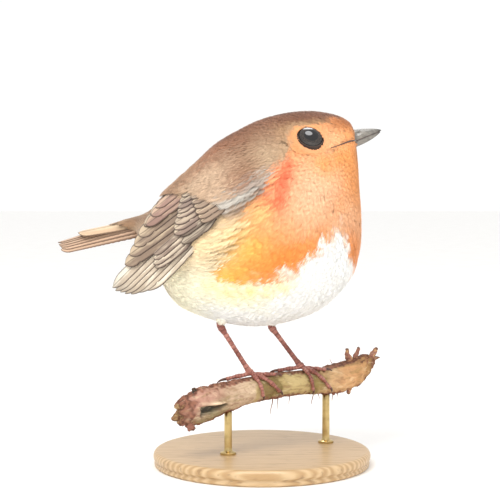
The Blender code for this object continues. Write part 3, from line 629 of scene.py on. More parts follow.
def tufts(surface, a, c, length, width, low, high, tint, turned, barbs, rng, uv):
    """Small feathers: tapering barbs fan out from a short shaft, from height low at the root to high at the tip."""
    count = len(a)
    side = np.linspace(-1, 1, barbs)[None] + rng.uniform(-0.5, 0.5, (count, barbs)) / barbs
    side = np.clip(side, -1, 1)
    reach = (0.56 + 0.44 * np.sqrt(np.clip(1 - side**2, 0, 1))) * rng.uniform(0.93, 1.05, (count, barbs))
    barb = width[:, None] / barbs * BARB_OVERLAP * rng.uniform(0.85, 1.2, (count, barbs))
    start = 0.03 + 0.3 * (1 - np.abs(side)) ** 1.3
    # three rings: share of the length, of the width, thickness, rise and shade; the darker root is partly the feathers'
    # own grey base and partly painted shade, and the paler tip is painted light
    rings = ((start, 0.08, 0.6, 0.0, 0.95), (start + (reach - start) * 0.55, 0.8, 1.0, 0.76, 1.0),
             (reach, 1.0, 0.0, 1.0, 1.03))
    speed_a, speed_c = speeds(surface, a, c)
    cos, sin = np.cos(turned)[:, None], np.sin(turned)[:, None]
    points = np.empty((count, barbs, BARB_POINTS, 3), np.float32)
    shade = np.empty((count, barbs, BARB_POINTS), np.float32)
    for ring, (share, spread, thick, rise, light) in enumerate(rings):
        along, across, thick = share * length[:, None], side * width[:, None] / 2 * spread, barb * thick
        height = low[:, None] + (high - low)[:, None] * rise - 0.18 * side**2 * rise
        height = height + rng.uniform(-0.03, 0.03, (count, barbs)) * rise
        corners = ((-0.5, 0.0), (0.5, 0.0), (0.0, BARB_THICKNESS)) if ring < 2 else ((0.0, 0.0),)
        for k, (off, lift) in enumerate(corners):
            v = across + off * thick
            place_a = a[:, None] + (along * cos - v * sin) / speed_a[:, None]
            place_c = c[:, None] + (along * sin + v * cos) / np.maximum(speed_c[:, None], 1e-3)
            placed = surface(place_a.ravel(), place_c.ravel(), (height + lift * thick).ravel())
            points[:, :, ring * 3 + k] = placed.reshape(count, barbs, 3)
            shade[:, :, ring * 3 + k] = light
        if ring == 1:
            facing, turned_round = surface_normals(surface, place_a.ravel(), place_c.ravel())
    base = (np.arange(count * barbs) * BARB_POINTS)[:, None]
    quads = np.concatenate([base + np.array([[k, (k + 1) % 3, 3 + (k + 1) % 3, 3 + k]]) for k in range(3)])
    ends = np.concatenate([base + np.array([[3 + k, 3 + (k + 1) % 3, 6]]) for k in range(3)] + [base + [[2, 1, 0]]])
    if turned_round:
        quads, ends = quads[:, ::-1], ends[:, ::-1]
    vary = rng.normal(0, 0.02, (count, 1, 1)) + rng.normal(0, 0.045, (count, barbs, 1))
    colours = tint[:, None, None, :] * (shade * (1 + vary))[..., None]
    patch = (points.astype(float) - points[:, :1, :1]) / np.maximum(length, 1)[:, None, None, None]
    uvs = uv[:, None, None, :] + TUFT_ON_MAP * np.clip(patch[..., [0, 2]], -1, 1)
    return points.reshape(-1, 3), [quads, ends], {
        "plumage": np.clip(colours, 0, 1).reshape(-1, 3), "uv": uvs.reshape(-1, 2),
        "facing": np.repeat(facing, BARB_POINTS, axis=0)}


def add_tufts(name, part, material):
    """Splits tufts into pieces of a size that exports well."""
    points, (quads, ends), extra = part
    barbs, per = len(points) // BARB_POINTS, MOST_TRIANGLES // BARB_TRIANGLES
    for k, first in enumerate(range(0, barbs, per)):
        last = min(barbs, first + per)
        chosen = slice(first * BARB_POINTS, last * BARB_POINTS)
        faces = [f.reshape(-1, barbs, f.shape[1])[:, first:last].reshape(-1, f.shape[1]) - chosen.start
                 for f in (quads, ends)]
        made = add_piece(f"{name}_{k + 1}" if barbs > per else name, points[chosen], faces, material,
                         {"plumage": extra["plumage"][chosen]}, extra["uv"][chosen])
        own = np.empty(len(made.data.vertices) * 3, np.float32)
        made.data.vertex_normals.foreach_get("vector", own)
        normals = own.reshape(-1, 3) * (1 - EVEN_LIGHT) + EVEN_LIGHT * extra["facing"][chosen]
        made.data.normals_split_custom_set_from_vertices(normals)


# ==== materials ====
class Look:
    """A material, and short ways to add the nodes used here. Each returns an output socket."""

    def __init__(self, name, roughness, **settings):
        self.material = bpy.data.materials.new(name)
        self.material.use_nodes = True
        self.tree = self.material.node_tree
        self.shader = self.tree.nodes["Principled BSDF"]
        for key, value in {"Roughness": roughness, **settings}.items():
            self.shader.inputs[key.replace("_", " ")].default_value = value

    def node(self, kind, out, inputs=None, **settings):
        made = self.tree.nodes.new(kind)
        for key, value in settings.items():
            setattr(made, key, value)
        for key, value in (inputs or {}).items():
            if isinstance(value, bpy.types.NodeSocket):
                self.tree.links.new(value, made.inputs[key])
            else:
                made.inputs[key].default_value = value
        return made.outputs[out]

    def attribute(self, name, out="Fac"):
        return self.node("ShaderNodeAttribute", out, attribute_name=name)

    def place(self):
        return self.node("ShaderNodeTexCoord", "Object")

    def stretched(self, scale, **inputs):
        return self.node("ShaderNodeMapping", "Vector", {"Vector": self.place(), **inputs, "Scale": scale})

    def maths(self, operation, *values):
        return self.node("ShaderNodeMath", 0, dict(enumerate(values)), operation=operation)

    def noise(self, scale, detail, vector=None, distortion=0.0):
        vector = self.place() if vector is None else vector
        return self.node("ShaderNodeTexNoise", "Fac", {"Vector": vector, "Scale": scale, "Detail": detail,
                                                       "Distortion": distortion})

    def to_range(self, value, low, high, out_low=0.0, out_high=1.0):
        limits = {"Value": value, "From Min": low, "From Max": high, "To Min": out_low, "To Max": out_high}
        return self.node("ShaderNodeMapRange", "Result", limits, interpolation_type="SMOOTHSTEP")

    def mix(self, factor, one, other, kind="MIX"):
        one, other = (c if isinstance(c, bpy.types.NodeSocket) else (*c, 1.0) for c in (one, other))
        return self.node("ShaderNodeMix", 2, {0: factor, 6: one, 7: other}, data_type="RGBA", blend_type=kind)

    def over(self, base, tint, value, *limits):
        """Lays a tint over the base, as strongly as to_range gives for a value."""
        return self.mix(self.to_range(value, *limits), base, tint)

    def paint(self, socket):
        self.tree.links.new(socket, self.shader.inputs["Base Color"])

    def bump(self, height, strength, distance):
        values = {"Height": height, "Strength": strength, "Distance": distance * MM}
        self.tree.links.new(self.node("ShaderNodeBump", "Normal", values), self.shader.inputs["Normal"])


def plumage_material(name, sheen):
    look = Look(name, 0.82, Sheen_Weight=sheen, Sheen_Roughness=0.5, Specular_IOR_Level=0.2)
    tint = look.attribute("plumage", "Color")
    fine = look.to_range(look.noise(1400.0, 2.0), 0.3, 0.7, 0.95, 1.03)
    broad = look.to_range(look.noise(110.0, 3.0), 0.3, 0.7, 0.96, 1.03)
    shade = look.maths("MULTIPLY", fine, broad)
    grey = look.node("ShaderNodeCombineColor", 0, {"Red": shade, "Green": shade, "Blue": shade})
    look.paint(look.mix(1.0, tint, grey, "MULTIPLY"))
    look.bump(look.noise(2600.0, 2.0), 0.15, 0.1)
    return look.material


def vane_material():
    """Vanes: vane_s runs across a feather from -1 to 1, vane_t along it and rim_mm in from its outline, in mm."""
    look = Look("feather_vanes", 0.62, Sheen_Weight=0.12, Specular_IOR_Level=0.25)
    side, along, rim = (look.attribute(name) for name in ("vane_s", "vane_t", "rim_mm"))
    dark = look.attribute("shaft", "Color")
    away = look.maths("ABSOLUTE", side)
    barbs = look.maths("SINE", look.maths("MULTIPLY_ADD", away, -46.0, look.maths("MULTIPLY", along, 13.0)))
    # A wash that runs along the feather: the upper web is paler, and the lower one darkens towards its edge.
    stretched = {"X": look.maths("MULTIPLY", along, 0.09), "Y": side, "Z": look.attribute("feather")}
    wash = look.noise(1.3, 3.0, look.node("ShaderNodeCombineXYZ", "Vector", stretched))
    pale = look.maths("ADD", side, look.to_range(wash, 0.3, 0.7, -0.55, 0.55))
    base = look.mix(look.to_range(pale, -0.75, 0.45), look.attribute("plumage", "Color"),
                    look.attribute("edge", "Color"))
    base = look.over(base, dark, barbs, -1.0, 1.0, 0.0, 0.07)
    base = look.over(base, dark, look.noise(260.0, 3.0), 0.5, 0.75, 0.0, 0.12)
    base = look.over(base, dark, rim, 0.2, 0.62, 0.85, 0.0)
    look.paint(look.over(base, dark, away, 0.03, 0.13, 0.6, 0.0))
    look.bump(barbs, 0.3, 0.06)
    return look.material


def horn_material(name, dark, light, roughness):
    look = Look(name, roughness, Coat_Weight=0.25, Coat_Roughness=0.2)
    base = look.mix(look.to_range(look.noise(420.0, 5.0), 0.25, 0.85), colour(dark), colour(light))
    look.paint(look.mix(look.attribute("horn_dark"), base, colour("#24221F")))
    look.bump(look.noise(1500.0, 3.0), 0.15, 0.1)
    return look.material


def eye_material():
    """A dark brown iris that is hardly paler than the pupil, under a clear wet coat."""
    look = Look("eye_cornea", 0.04, Coat_Weight=0.3, Coat_Roughness=0.02, Specular_IOR_Level=0.42)
    away = look.attribute("from_pupil")
    iris = look.mix(look.to_range(look.noise(2500.0, 2.0), 0.3, 0.7), colour("#1E1A19"), colour("#3A322C"))
    shown = look.mix(look.to_range(away, 0.50, 0.56), colour("#121113"), iris)
    look.paint(look.mix(look.to_range(away, 0.80, 0.9), shown, colour("#0A0807")))
    return look.material


def leg_material():
    look = Look("leg_scales", 0.45, Coat_Weight=0.15, Coat_Roughness=0.35, Subsurface_Weight=0.08,
                Subsurface_Scale=0.001)
    base = look.mix(look.to_range(look.noise(260.0, 4.0), 0.35, 0.68), colour("#7E4438"), colour("#B4796B"))
    # Darker in the creases between the scales: painted shade.
    crease_shade = look.to_range(look.attribute("crease"), 0.2, 1.0, 0.0, 0.8)
    look.paint(look.mix(crease_shade, base, colour("#4A221B")))
    look.bump(look.node("ShaderNodeTexVoronoi", "Distance", {"Vector": look.place(), "Scale": 1500.0}), 0.3, 0.08)
    return look.material


def bark_material():
    look = Look("bark", 0.85, Specular_IOR_Level=0.2)
    turned = look.stretched((0.22, 1.0, 1.0), Rotation=(0, 0, -PERCH_YAW))
    streak, fine = look.noise(420.0, 5.0, turned, 0.6), look.noise(1500.0, 4.0, turned)
    base = look.attribute("bark_tint", "Color")
    base = look.over(base, colour("#F3E0BC"), streak, 0.3, 0.44, 0.3, 0.0)
    base = look.over(base, colour("#7A5440"), streak, 0.52, 0.7, 0.0, 0.45)
    look.paint(look.over(base, colour("#54402F"), fine, 0.55, 0.75, 0.0, 0.3))
    look.bump(look.mix(0.4, streak, fine), 0.5, 0.35)
    return look.material


def wood_material():
    look = Look("stand_wood_grain", 0.42, Coat_Weight=0.12, Coat_Roughness=0.3)
    stretched = look.stretched((0.16, 1.0, 0.6))
    grain = {"Vector": stretched, "Scale": 130.0, "Distortion": 5.0, "Detail": 3.0, "Detail Scale": 1.6}
    rings = look.node("ShaderNodeTexWave", "Fac", grain, bands_direction="Y")
    pores = look.noise(900.0, 4.0, stretched)
    base = look.mix(rings, colour("#C9AC84"), colour("#B08E63"))
    look.paint(look.over(base, colour("#7E6040"), pores, 0.56, 0.72, 0.0, 0.5))
    look.bump(pores, 0.12, 0.15)
    return look.material


def brass_material():
    look = Look("stand_brass", 0.28, Metallic=1.0)
    worn = look.to_range(look.noise(300.0, 4.0), 0.4, 0.7, 0.0, 0.6)
    look.paint(look.mix(worn, colour("#C9B07A"), colour("#9C8453")))
    look.bump(look.noise(2400.0, 2.0), 0.08, 0.05)
    return look.material


# ==== skin, lids and thighs ====
# centre: of the eyeball; middle: where its axis leaves the coat; the ways it faces, forward and upright in its disc
Eye = namedtuple("Eye", "name side centre middle outward forward upright")


def find_eye(tree, name, side):
    """The eye's place and the way it faces, from its solid and the face around it."""
    low, high = (np.array(v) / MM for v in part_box(f"eye_{name}"))
    x, _, z = (low + high) / 2 + EYE_LIFT * UP
    apart = 2.0
    places = ((apart, 0), (-apart, 0), (0, apart), (0, -apart), (0, 0), (0, -EYE_LIFT))
    reads = [tree.ray_cast((x + dx, side * 100, z + dz), (0, -side, 0), 100)[0].y for dx, dz in places]
    ahead, behind, above, below, here, solid = (abs(v) for v in reads)
    outward = unit(np.array(((behind - ahead) / (2 * apart), side, (below - above) / (2 * apart))))
    level = unit(np.cross(UP, outward))
    centre = (low + high) / 2 + np.array((0, side * (here - solid), EYE_LIFT))
    return Eye(name, side, centre, np.array((x, side * here, z)), outward, level * -side, np.cross(outward, level))


def lid_stretch(turn):
    return 1 + LID_STRETCH * np.cos(2 * (turn + math.radians(LID_TILT)))


def from_lid(points, eye):
    """How far points lie outside the lids' opening, in the eye's disc; far off on the other side of the head."""
    away = points - eye.middle
    p, q = away @ eye.forward, away @ eye.upright
    out = np.hypot(p, q) / lid_stretch(np.arctan2(q, p)) - LID_RADIUS
    return np.where(np.sign(points[:, 1]) == eye.side, out, 99.0)


def skin_uv(at, turn):
    """A place on the unwrap of the skin's own shape; the thighs and lids have the last tenth of the map."""
    return np.stack([0.9 * at / BODY_END, turn / CIRCLE % 1], 1)


def lid_shape(eye, index):
    """A ring of skin round the eye: an inner wall, a soft rim and a slope down to the face."""
    around, count = 120, len(LID_PROFILE)
    turn, k = lattice(turns(around), np.arange(count))
    out, rise = LID_PROFILE[k].T
    radius = LID_RADIUS * lid_stretch(turn) + out * (1 + 0.10 * np.sin(turn * 37) * (rise > -0.4))
    depth = EYE_DEPTH * math.sqrt(1 - (LID_RADIUS / EYE_RADIUS) ** 2) + 0.2
    points = (eye.centre + (radius * np.cos(turn))[:, None] * eye.forward
              + (radius * np.sin(turn) * 0.97)[:, None] * eye.upright + (depth + rise)[:, None] * eye.outward)
    faces = grid_faces(around + 1, count, wrap=True) % (around * count)
    return points, [faces], np.stack([0.95 + 0.02 * index + 0.018 * k / count, 0.05 + 0.9 * turn / CIRCLE], 1)


def thigh_surface(name):
    ankle = np.array(ANKLES[name])
    top, low = ankle + THIGH_TOP, ankle + unit(foot_centre(name) - ankle) * 0.6
    length = np.linalg.norm(low - top)
    ahead = (low - top) / length
    level = np.cross(ahead, TO_LEFT)
    other = np.cross(ahead, level)

    def surface(along, turn, height):
        along, turn, height = flat(along, turn, height)
        radius = THIGH_RADIUS * np.interp(along / length, *THIGH_TAPER) + height
        round_it = np.cos(turn)[:, None] * level + np.sin(turn)[:, None] * other
        return top + along[:, None] * ahead + radius[:, None] * round_it

    return surface, length


def thigh_shape(name, index):
    surface, length = thigh_surface(name)
    rings, around = 26, 48
    along, turn = lattice(np.linspace(-0.5, length, rings), turns(around))
    uv = np.stack([0.905 + 0.02 * index + 0.018 * along / length, 0.05 + 0.9 * turn / CIRCLE], 1)
    return surface(along, turn, -0.5), capped_grid(rings, around), uv


def make_skin(material, eyes):
    """One closed skin: the body with its thighs and eyelids joined on."""
    rings, around = 220, 132
    at, turn = lattice(np.linspace(0, BODY_END, rings), turns(around))
    points = body_surface(at, turn, -coat_value(DEPTH, at))
    for eye in eyes:  # a flat under each eyeball
        away = points - eye.centre
        depth = away @ eye.outward
        across = np.linalg.norm(away - depth[:, None] * eye.outward, axis=1)
        inside = (np.sign(points[:, 1]) == eye.side) * (1 - ramp(across, EYE_RADIUS - 0.5, EYE_RADIUS + 0.5))
        points -= (inside * np.maximum(0, depth + 0.4))[:, None] * eye.outward
    body = fix_normals(add_piece("skin", points, capped_grid(rings, around), material, None, skin_uv(at, turn)))
    for index, eye in enumerate(eyes):
        for shape_points, faces, uv in (thigh_shape(eye.name, index), lid_shape(eye, index)):
            other = fix_normals(add_mesh("joined", shape_points, faces, material, None, uv))
            modifier = body.modifiers.new("join", "BOOLEAN")
            modifier.operation, modifier.object = "UNION", other
            bpy.context.view_layer.objects.active = body
            bpy.ops.object.modifier_apply(modifier=modifier.name)
            bpy.data.objects.remove(other)
    mesh = body.data
    mesh.polygons.foreach_set("use_smooth", np.ones(len(mesh.polygons), bool))
    made = np.empty(len(mesh.vertices) * 3, np.float32)
    mesh.vertices.foreach_get("co", made)
    made = made.reshape(-1, 3).astype(float) / MM
    # The skin is painted a tenth darker than the coat over it, as painted shade under the tufts.
    tint = plumage(made) * 0.9
    for eye in eyes:
        out = from_lid(made, eye)
        tint = blend(blend(tint, LID_EDGE, 1 - ramp(out, 0.4, 0.6)), LID_SKIN, 1 - ramp(out, 0.05, 0.25))
    add_attribute(mesh, "plumage", tint)
    close_seam(mesh)
    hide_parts("head", "neck", "trunk", "rump", "thigh_right", "thigh_left")


def close_seam(mesh):
    """Moves the low corners of a face that crosses the map's join past the top, so that it isn't stretched."""
    layer = mesh.uv_layers["OFBake"]
    uv = np.empty(len(mesh.loops) * 2, np.float32)
    layer.data.foreach_get("uv", uv)
    uv = uv.reshape(-1, 2)
    starts, totals = np.empty(len(mesh.polygons), np.int32), np.empty(len(mesh.polygons), np.int32)
    mesh.polygons.foreach_get("loop_start", starts)
    mesh.polygons.foreach_get("loop_total", totals)
    spread = np.maximum.reduceat(uv[:, 1], starts) - np.minimum.reduceat(uv[:, 1], starts)
    low = np.repeat((spread > 0.5) & (totals < 9), totals) & (uv[:, 1] < 0.5)
    uv[low, 1] += 1.0
    layer.data.foreach_set("uv", np.minimum(uv, 1.0).ravel())


# ==== the coat ====
def flow_round_eyes(points, ahead, across, eyes):
    """How far each tuft's lie turns to pass round the eye, and its distance from the eye's middle."""
    turned, distance = np.zeros(len(points)), np.full(len(points), 99.0)
    for eye in eyes:
        away = points - eye.middle
        p, q = (away * ahead).sum(1), (away * across).sum(1)
        r = np.linalg.norm(away - (away @ eye.outward)[:, None] * eye.outward, axis=1)
        near = (np.sign(points[:, 1]) == eye.side) & (r < 16)
        square = np.maximum(r, 1) ** 2
        share = np.minimum(1, (LID_RADIUS + 0.2) ** 2 / square)
        flow = np.arctan2(-share * 2 * p * q / square, 1 - share * (p**2 - q**2) / square)
        turned = np.where(near, flow, turned)
        distance = np.where(near, np.minimum(distance, r), distance)
    return turned, distance


def tuft_tips(a, c, turned, length):
    """Where tufts end, on the body."""
    speed_a, speed_c = speeds(body_surface, a, c)
    return body_surface(a + length * np.cos(turned) / speed_a, c + length * np.sin(turned) / np.maximum(speed_c, 1e-3))


def lift_over_wing(wing, points, turn):
    """How far the coat rises from the body to lie over the folded wing's front and its lower edge."""
    along, across = wing_place(points)
    gap = (wing.read(wing.y, along, across) - np.abs(points[:, 1])) * np.abs(np.sin(turn))
    cover = COAT_OVER_WING * ramp(along, -18, -4) * ramp(across, 9, 14) * (1 - 0.7 * ramp(across, 29, 34))
    reach = np.interp(across, COAT_ACROSS, COAT_REACH)
    front = band(across, 8.5, 12.5, 35, 40) * band(along, -24, -12, reach - 1, reach + 4)
    over_edge = band(across, 1, 7, 11, 13) * band(along, -10, 2, 22, 34)
    return np.maximum(front * np.clip(gap + cover, 0, 8), over_edge * np.clip(gap + 1.3, 0, 4.5))


def make_coat(material, wing, eyes, rng):
    def keep(points):
        """Nothing grows under the wing's middle, inside the lids or where the bill's own ring is."""
        along, across = wing_place(points)
        x, y, z = points[:, 0], np.abs(points[:, 1]), points[:, 2]
        reach = np.interp(across, COAT_ACROSS, COAT_REACH)
        bare = (along > reach - UNDER_REACH) & (along < HIDDEN_ALONG) & (y > HIDDEN_BESIDE)
        bare &= (across > HIDDEN_ACROSS[0]) & (across < HIDDEN_ACROSS[1])
        bare |= (x > CHIN_FRONT) & (z > CHIN_HEIGHT[0]) & (z < CHIN_HEIGHT[1]) & (y < CHIN_HALF_WIDTH)
        for eye in eyes:
            bare |= from_lid(points, eye) < 0.5
        return ~bare

    spacing = lambda at: coat_value(SPACING, at)
    a, c = scatter(body_surface, (0.02, 0.0), (BODY_END - 0.1, CIRCLE), spacing, rng, keep)
    order = np.argsort(a, kind="stable")
    a, c = a[order], c[order]
    here = body_surface(a, c)
    ahead, across = (unit(way) for way in tangents(body_surface, a, c))
    turned, from_eye = flow_round_eyes(here, ahead, across, eyes)
    # Beside and over the wing's front the coat takes the wing's own direction.
    wing_a, wing_c = wing_place(here)
    along_wing = np.array((-SLOPE_COS, 0, -SLOPE_SIN))
    beside = band(wing_a, -30, -12, 14, 26) * band(wing_c, 2, 12, 33, 42) * ramp(np.abs(here[:, 1]), 2, 8)
    turned = turned * (1 - beside) + np.arctan2(across @ along_wing, ahead @ along_wing) * beside
    length = coat_value(LENGTH, a) * rng.uniform(0.88, 1.12, len(a))
    width = coat_value(WIDTH, a) * rng.uniform(0.9, 1.1, len(a))
    near_eye = ramp(from_eye, LID_RADIUS, LID_RADIUS + 3.5)
    length, width = length * (0.42 + 0.58 * near_eye), width * (0.5 + 0.5 * near_eye)
    depth = coat_value(DEPTH, a)
    vent = 1.4 * spot(here[:, 0], here[:, 2], VENT_PLACE, 11) * (1 - ramp(np.abs(here[:, 1]), 8, 15))
    lift, tip_lift = (lift_over_wing(wing, p, c) for p in (here, tuft_tips(a, c, turned, length * 0.85)))
    low = lift - (depth + 0.15) * (1 - 0.45 * ramp(lift, 0.5, 2.5)) + vent * 0.4
    loose = rng.uniform(-0.08, 0.04, len(a)) * np.minimum(1, depth / 1.6)
    high = loose - 0.25 * (1 - near_eye) + tip_lift + vent
    turned = turned + rng.normal(0, 0.05, len(a))
    tint = plumage(here + rng.normal(0, 0.3, here.shape))
    values = (a, c, length, width, low, high, tint, turned)
    for name, first, last, barbs, slot in COAT_PIECES:
        chosen = (a >= first) & (a < last)
        part = tufts(body_surface, *(v[chosen] for v in values), barbs, rng, skin_uv(a, c)[chosen])
        add_tufts(name, part, material)
    make_eye_rings(material, eyes, rng)
    make_bill_ring(material, rng)



def even(gap):
    """A spacing that is the same everywhere."""
    return lambda at: np.full(len(at), gap)


def make_eye_rings(material, eyes, rng):
    """The short feathers that stand round the lids and point away from the eye."""
    for eye in eyes:
        def keep(points):
            out = from_lid(points, eye)
            return (out > 0.28) & (out < 1.3 + 1.8 * ramp(eye.middle[0] - points[:, 0], 0, 4))

        low, high = (0.6, 2.6) if eye.side == LEFT else (CIRCLE - 2.6, CIRCLE - 0.6)
        a, c = scatter(body_surface, (1.0, low), (5.0, high), even(RING_SPACING), rng, keep, 40)
        here = body_surface(a, c)
        ahead, across = (unit(way) for way in tangents(body_surface, a, c))
        away = here - eye.middle
        turned = np.arctan2((away * across).sum(1), (away * ahead).sum(1))
        size = rng.uniform(1.2, 1.6, len(a)) + 0.6 * (np.cos(turned) > 0.3)
        part = tufts(body_surface, a, c, size, size * 0.6, np.full(len(a), -0.6), rng.uniform(-0.15, 0.0, len(a)),
                     plumage(here), turned, RING_BARBS, rng, skin_uv(a, c))
        add_tufts(f"coat_eye_ring_{eye.name}", part, material)


def make_bill_ring(material, rng):
    """The shortest feathers, which lie forwards on the bill's base above and below it."""
    start = BILL_BASE + (0.2, 0, 1.3)

    def surface(along, turn, height):
        along, turn, height = flat(along, turn, height)
        above, below, wide = (np.interp(along, (0, 2.2), ends) + height for ends in BILL_RING_SIZES)
        tall = np.where(np.cos(turn) > 0, above, below)
        return (start + along[:, None] * BILL_AHEAD + (tall * np.cos(turn))[:, None] * BILL_UP
                + (wide * np.sin(turn))[:, None] * TO_LEFT)

    clear_of_gape = lambda points: np.abs((points - start) @ BILL_UP) > 2.6
    a, c = scatter(surface, (-0.6, 0.0), (0.7, CIRCLE), even(RING_SPACING), rng, clear_of_gape)
    size = rng.uniform(1.0, 1.4, len(a))
    part = tufts(surface, a, c, size, size * 0.6, np.full(len(a), -0.45), rng.uniform(-0.25, 0.05, len(a)),
                 plumage(surface(a, c, 0.0)), rng.normal(0, 0.12, len(a)), RING_BARBS, rng,
                 skin_uv(0.25 + 0.2 * a, c))
    add_tufts("coat_bill_ring", part, material)


def make_thigh_feathers(material, rng):
    for index, (name, _) in enumerate(SIDES):
        surface, length = thigh_surface(name)
        a, c = scatter(surface, (0.0, 0.0), (length * 0.95, CIRCLE), even(0.62), rng)
        share = a / length
        size = np.interp(share, (0, 0.6, 1), (4.6, 3.2, 1.7))
        tint = blend(plumage(surface(a, c, 0.0)), colour("#D8BFA0"), ramp(share, 0.5, 1.05) * 0.8)
        uv = np.stack([0.905 + 0.02 * index + 0.018 * share, 0.05 + 0.14 * (c % CIRCLE)], 1)
        part = tufts(surface, a, c, size, size * 0.42, np.full(len(a), -0.55), rng.uniform(-0.1, 0.25, len(a)), tint,
                     rng.normal(0, 0.1, len(a)), 9, rng, uv)
        add_tufts(f"coat_thigh_{name}", part, material)


# ==== feathers with vanes ====
def vane_outline(t, length, width, pointed):
    """Half the width of a feather along it: narrow at the root, rounded or pointed at the tip."""
    end = np.clip(3.2 * (1 + pointed) / length, 0.06, 0.45)
    rounding = np.sqrt(np.clip(1 - (np.clip(t - 1 + end, 0, 1) / end) ** 2, 0, 1)) ** (1 + 0.4 * pointed)
    return np.clip(0.3 + 2.2 * t, 0, 1) * rounding * 0.5 * width


def vane(surface, root, tip, bow, width, low, high, tilt, colours, cell, rng, pointed=0.0, splits=1):
    """One feather as a closed, cambered plate with a raised shaft and a slightly frayed outline."""
    root, tip = np.array(root, float), np.array(tip, float)
    length = np.linalg.norm(tip - root)
    ahead = (tip - root) / length
    rows, columns = int(length / 0.8) + 8, 15
    t = np.minimum(1 - np.linspace(1, 0.0, rows) ** 1.25, 0.997)
    outline = vane_outline(t, length, width, pointed)
    notch = np.zeros(rows)
    for _ in range(rng.integers(0, splits + 1)):
        notch += 0.22 * np.exp(-((t - rng.uniform(0.4, 0.9)) * length / 0.5) ** 2)
    S, T = np.meshgrid(np.linspace(-1, 1, columns), t)
    edge, outline = np.abs(S), outline[:, None]
    fray = 1 + 0.018 * np.sin(T * length * 5.1 + rng.uniform(0, 6)) * edge**3
    beside = S * outline * fray * (1 - np.where(S < 0, notch[:, None], 0) * edge**5) + bow * np.sin(math.pi * T)
    along = T * length - edge * outline * 0.3 * (T > 0.05)
    U, V = root[0] + along * ahead[0] - beside * ahead[1], root[1] + along * ahead[1] + beside * ahead[0]
    shaft = 0.15 * np.exp(-((S / 0.09) ** 2)) * (1 - 0.7 * T)
    height = low + (high - low) * T - S * tilt + 0.2 * (1 - S**2) + shaft
    thickness = 0.2 * (1 - 0.45 * edge**3) * (1 - 0.3 * T) + 1.2 * shaft
    points = np.vstack([surface(U, V, height), surface(U, V, height - thickness)])
    count, faces = rows * columns, grid_faces(rows, columns)
    rim = np.concatenate([np.arange(columns), np.arange(1, rows) * columns + columns - 1,
                          (rows - 1) * columns + np.arange(columns - 2, -1, -1), np.arange(rows - 2, 0, -1) * columns])
    after = np.roll(rim, -1)
    wall = np.stack([after, rim, rim + count, after + count], 1)
    tint, web, dark = (colour(code) for code in colours)
    vary = 1 + rng.normal(0, 0.05)
    both = lambda values: np.concatenate([values.ravel()] * 2)
    shaded = both(0.92 + 0.1 * T - 0.3 * pointed * ramp(T, 0.8, 1))[:, None]
    web_shaded = both(1 - 0.45 * pointed * ramp(T, 0.86, 1))[:, None]
    inward = np.minimum((1 - edge) * outline, (1 - T) * length)
    return points, [np.vstack([faces, faces[:, ::-1] + count, wall])], {
        "vane_s": both(S), "vane_t": both(T * length), "rim_mm": both(inward),
        "plumage": plain(tint * vary, 2 * count) * shaded, "feather": np.full(2 * count, rng.uniform(0, 90)),
        "edge": plain(web * vary, 2 * count) * web_shaded, "shaft": plain(dark, 2 * count),
        "uv": cell[0] + np.stack([both((S + 1) / 2), both(T)], 1) * cell[1]}


def uv_cells(count):
    """A cell of the map for each feather: its corner and its size."""
    across = math.ceil(math.sqrt(count * 3))
    down = math.ceil(count / across)
    size = np.array((0.9 / across, 0.9 / down))
    return [(np.array((k % across / across, k // across / down)) + 0.02 / across, size) for k in range(count)]


def make_wings(wing, vanes, rng):
    for name, side in SIDES:
        cells, parts = uv_cells(sum(row[1] for row in FEATHER_ROWS)), []
        surface = lambda a, c, h: wing.points(a, c, h) * (1.0, side, 1.0)
        for kind, count, roots, tips, reach, width, (low, high), colours in FEATHER_ROWS:
            for k in range(count):
                share = k / (count - 1)
                root, tip = (np.array(p) + (np.array(q) - np.array(p)) * share for p, q in (roots, tips))
                further = reach * math.sin(math.pi * (0.15 + 0.7 * share)) + rng.uniform(-0.3, 0.3)
                tip = tip + unit(tip - root) * further
                bow = -0.015 * np.linalg.norm(tip - root) * (1 - share)
                parts.append(vane(surface, root, tip, bow, width * rng.uniform(0.96, 1.06), low, high, 0.26, colours,
                                  cells[len(parts)], rng, pointed=0.8 if kind == "primary" else 0.0))
        made = add_joined(f"wing_feathers_{name}", parts, vanes)
        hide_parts(f"primaries_{name}", f"secondaries_{name}", f"wing_coverts_{name}")


def make_tail(vanes, rng):
    """A stack of feathers from the outermost up, with the middle pair on top of the rest."""
    cells, parts = uv_cells(TAIL_FEATHERS + 2), []
    places = np.arange(TAIL_FEATHERS) - (TAIL_FEATHERS - 1) / 2
    for place in sorted(places, key=lambda place: -abs(place)):
        out, reach = abs(place), TAIL_LENGTH - 0.3 * abs(place) + rng.uniform(-0.3, 0.3)
        parts.append(vane(tail_surface, (HIDDEN_ROOT, place * 0.5), (reach, place * 1.16), 0.0, 5.4, -0.4 - 0.2 * out,
                          0.5 - 0.24 * out, -0.2 * np.sign(place), TAIL_COLOURS, cells[len(parts)], rng, splits=0))
    for place in (-1.5, 1.5):
        tip = (TAIL_LENGTH - MIDDLE_PAIR_SHORTER, place * 1.7)
        parts.append(vane(tail_surface, (HIDDEN_ROOT, place * 0.5), tip, 0.3 * np.sign(place), 6.0, -2.6, 1.9,
                          -0.1 * np.sign(place), MIDDLE_PAIR_COLOURS, cells[len(parts)], rng, splits=0))
    made = add_joined("tail_feathers", parts, vanes)
    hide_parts("tail")


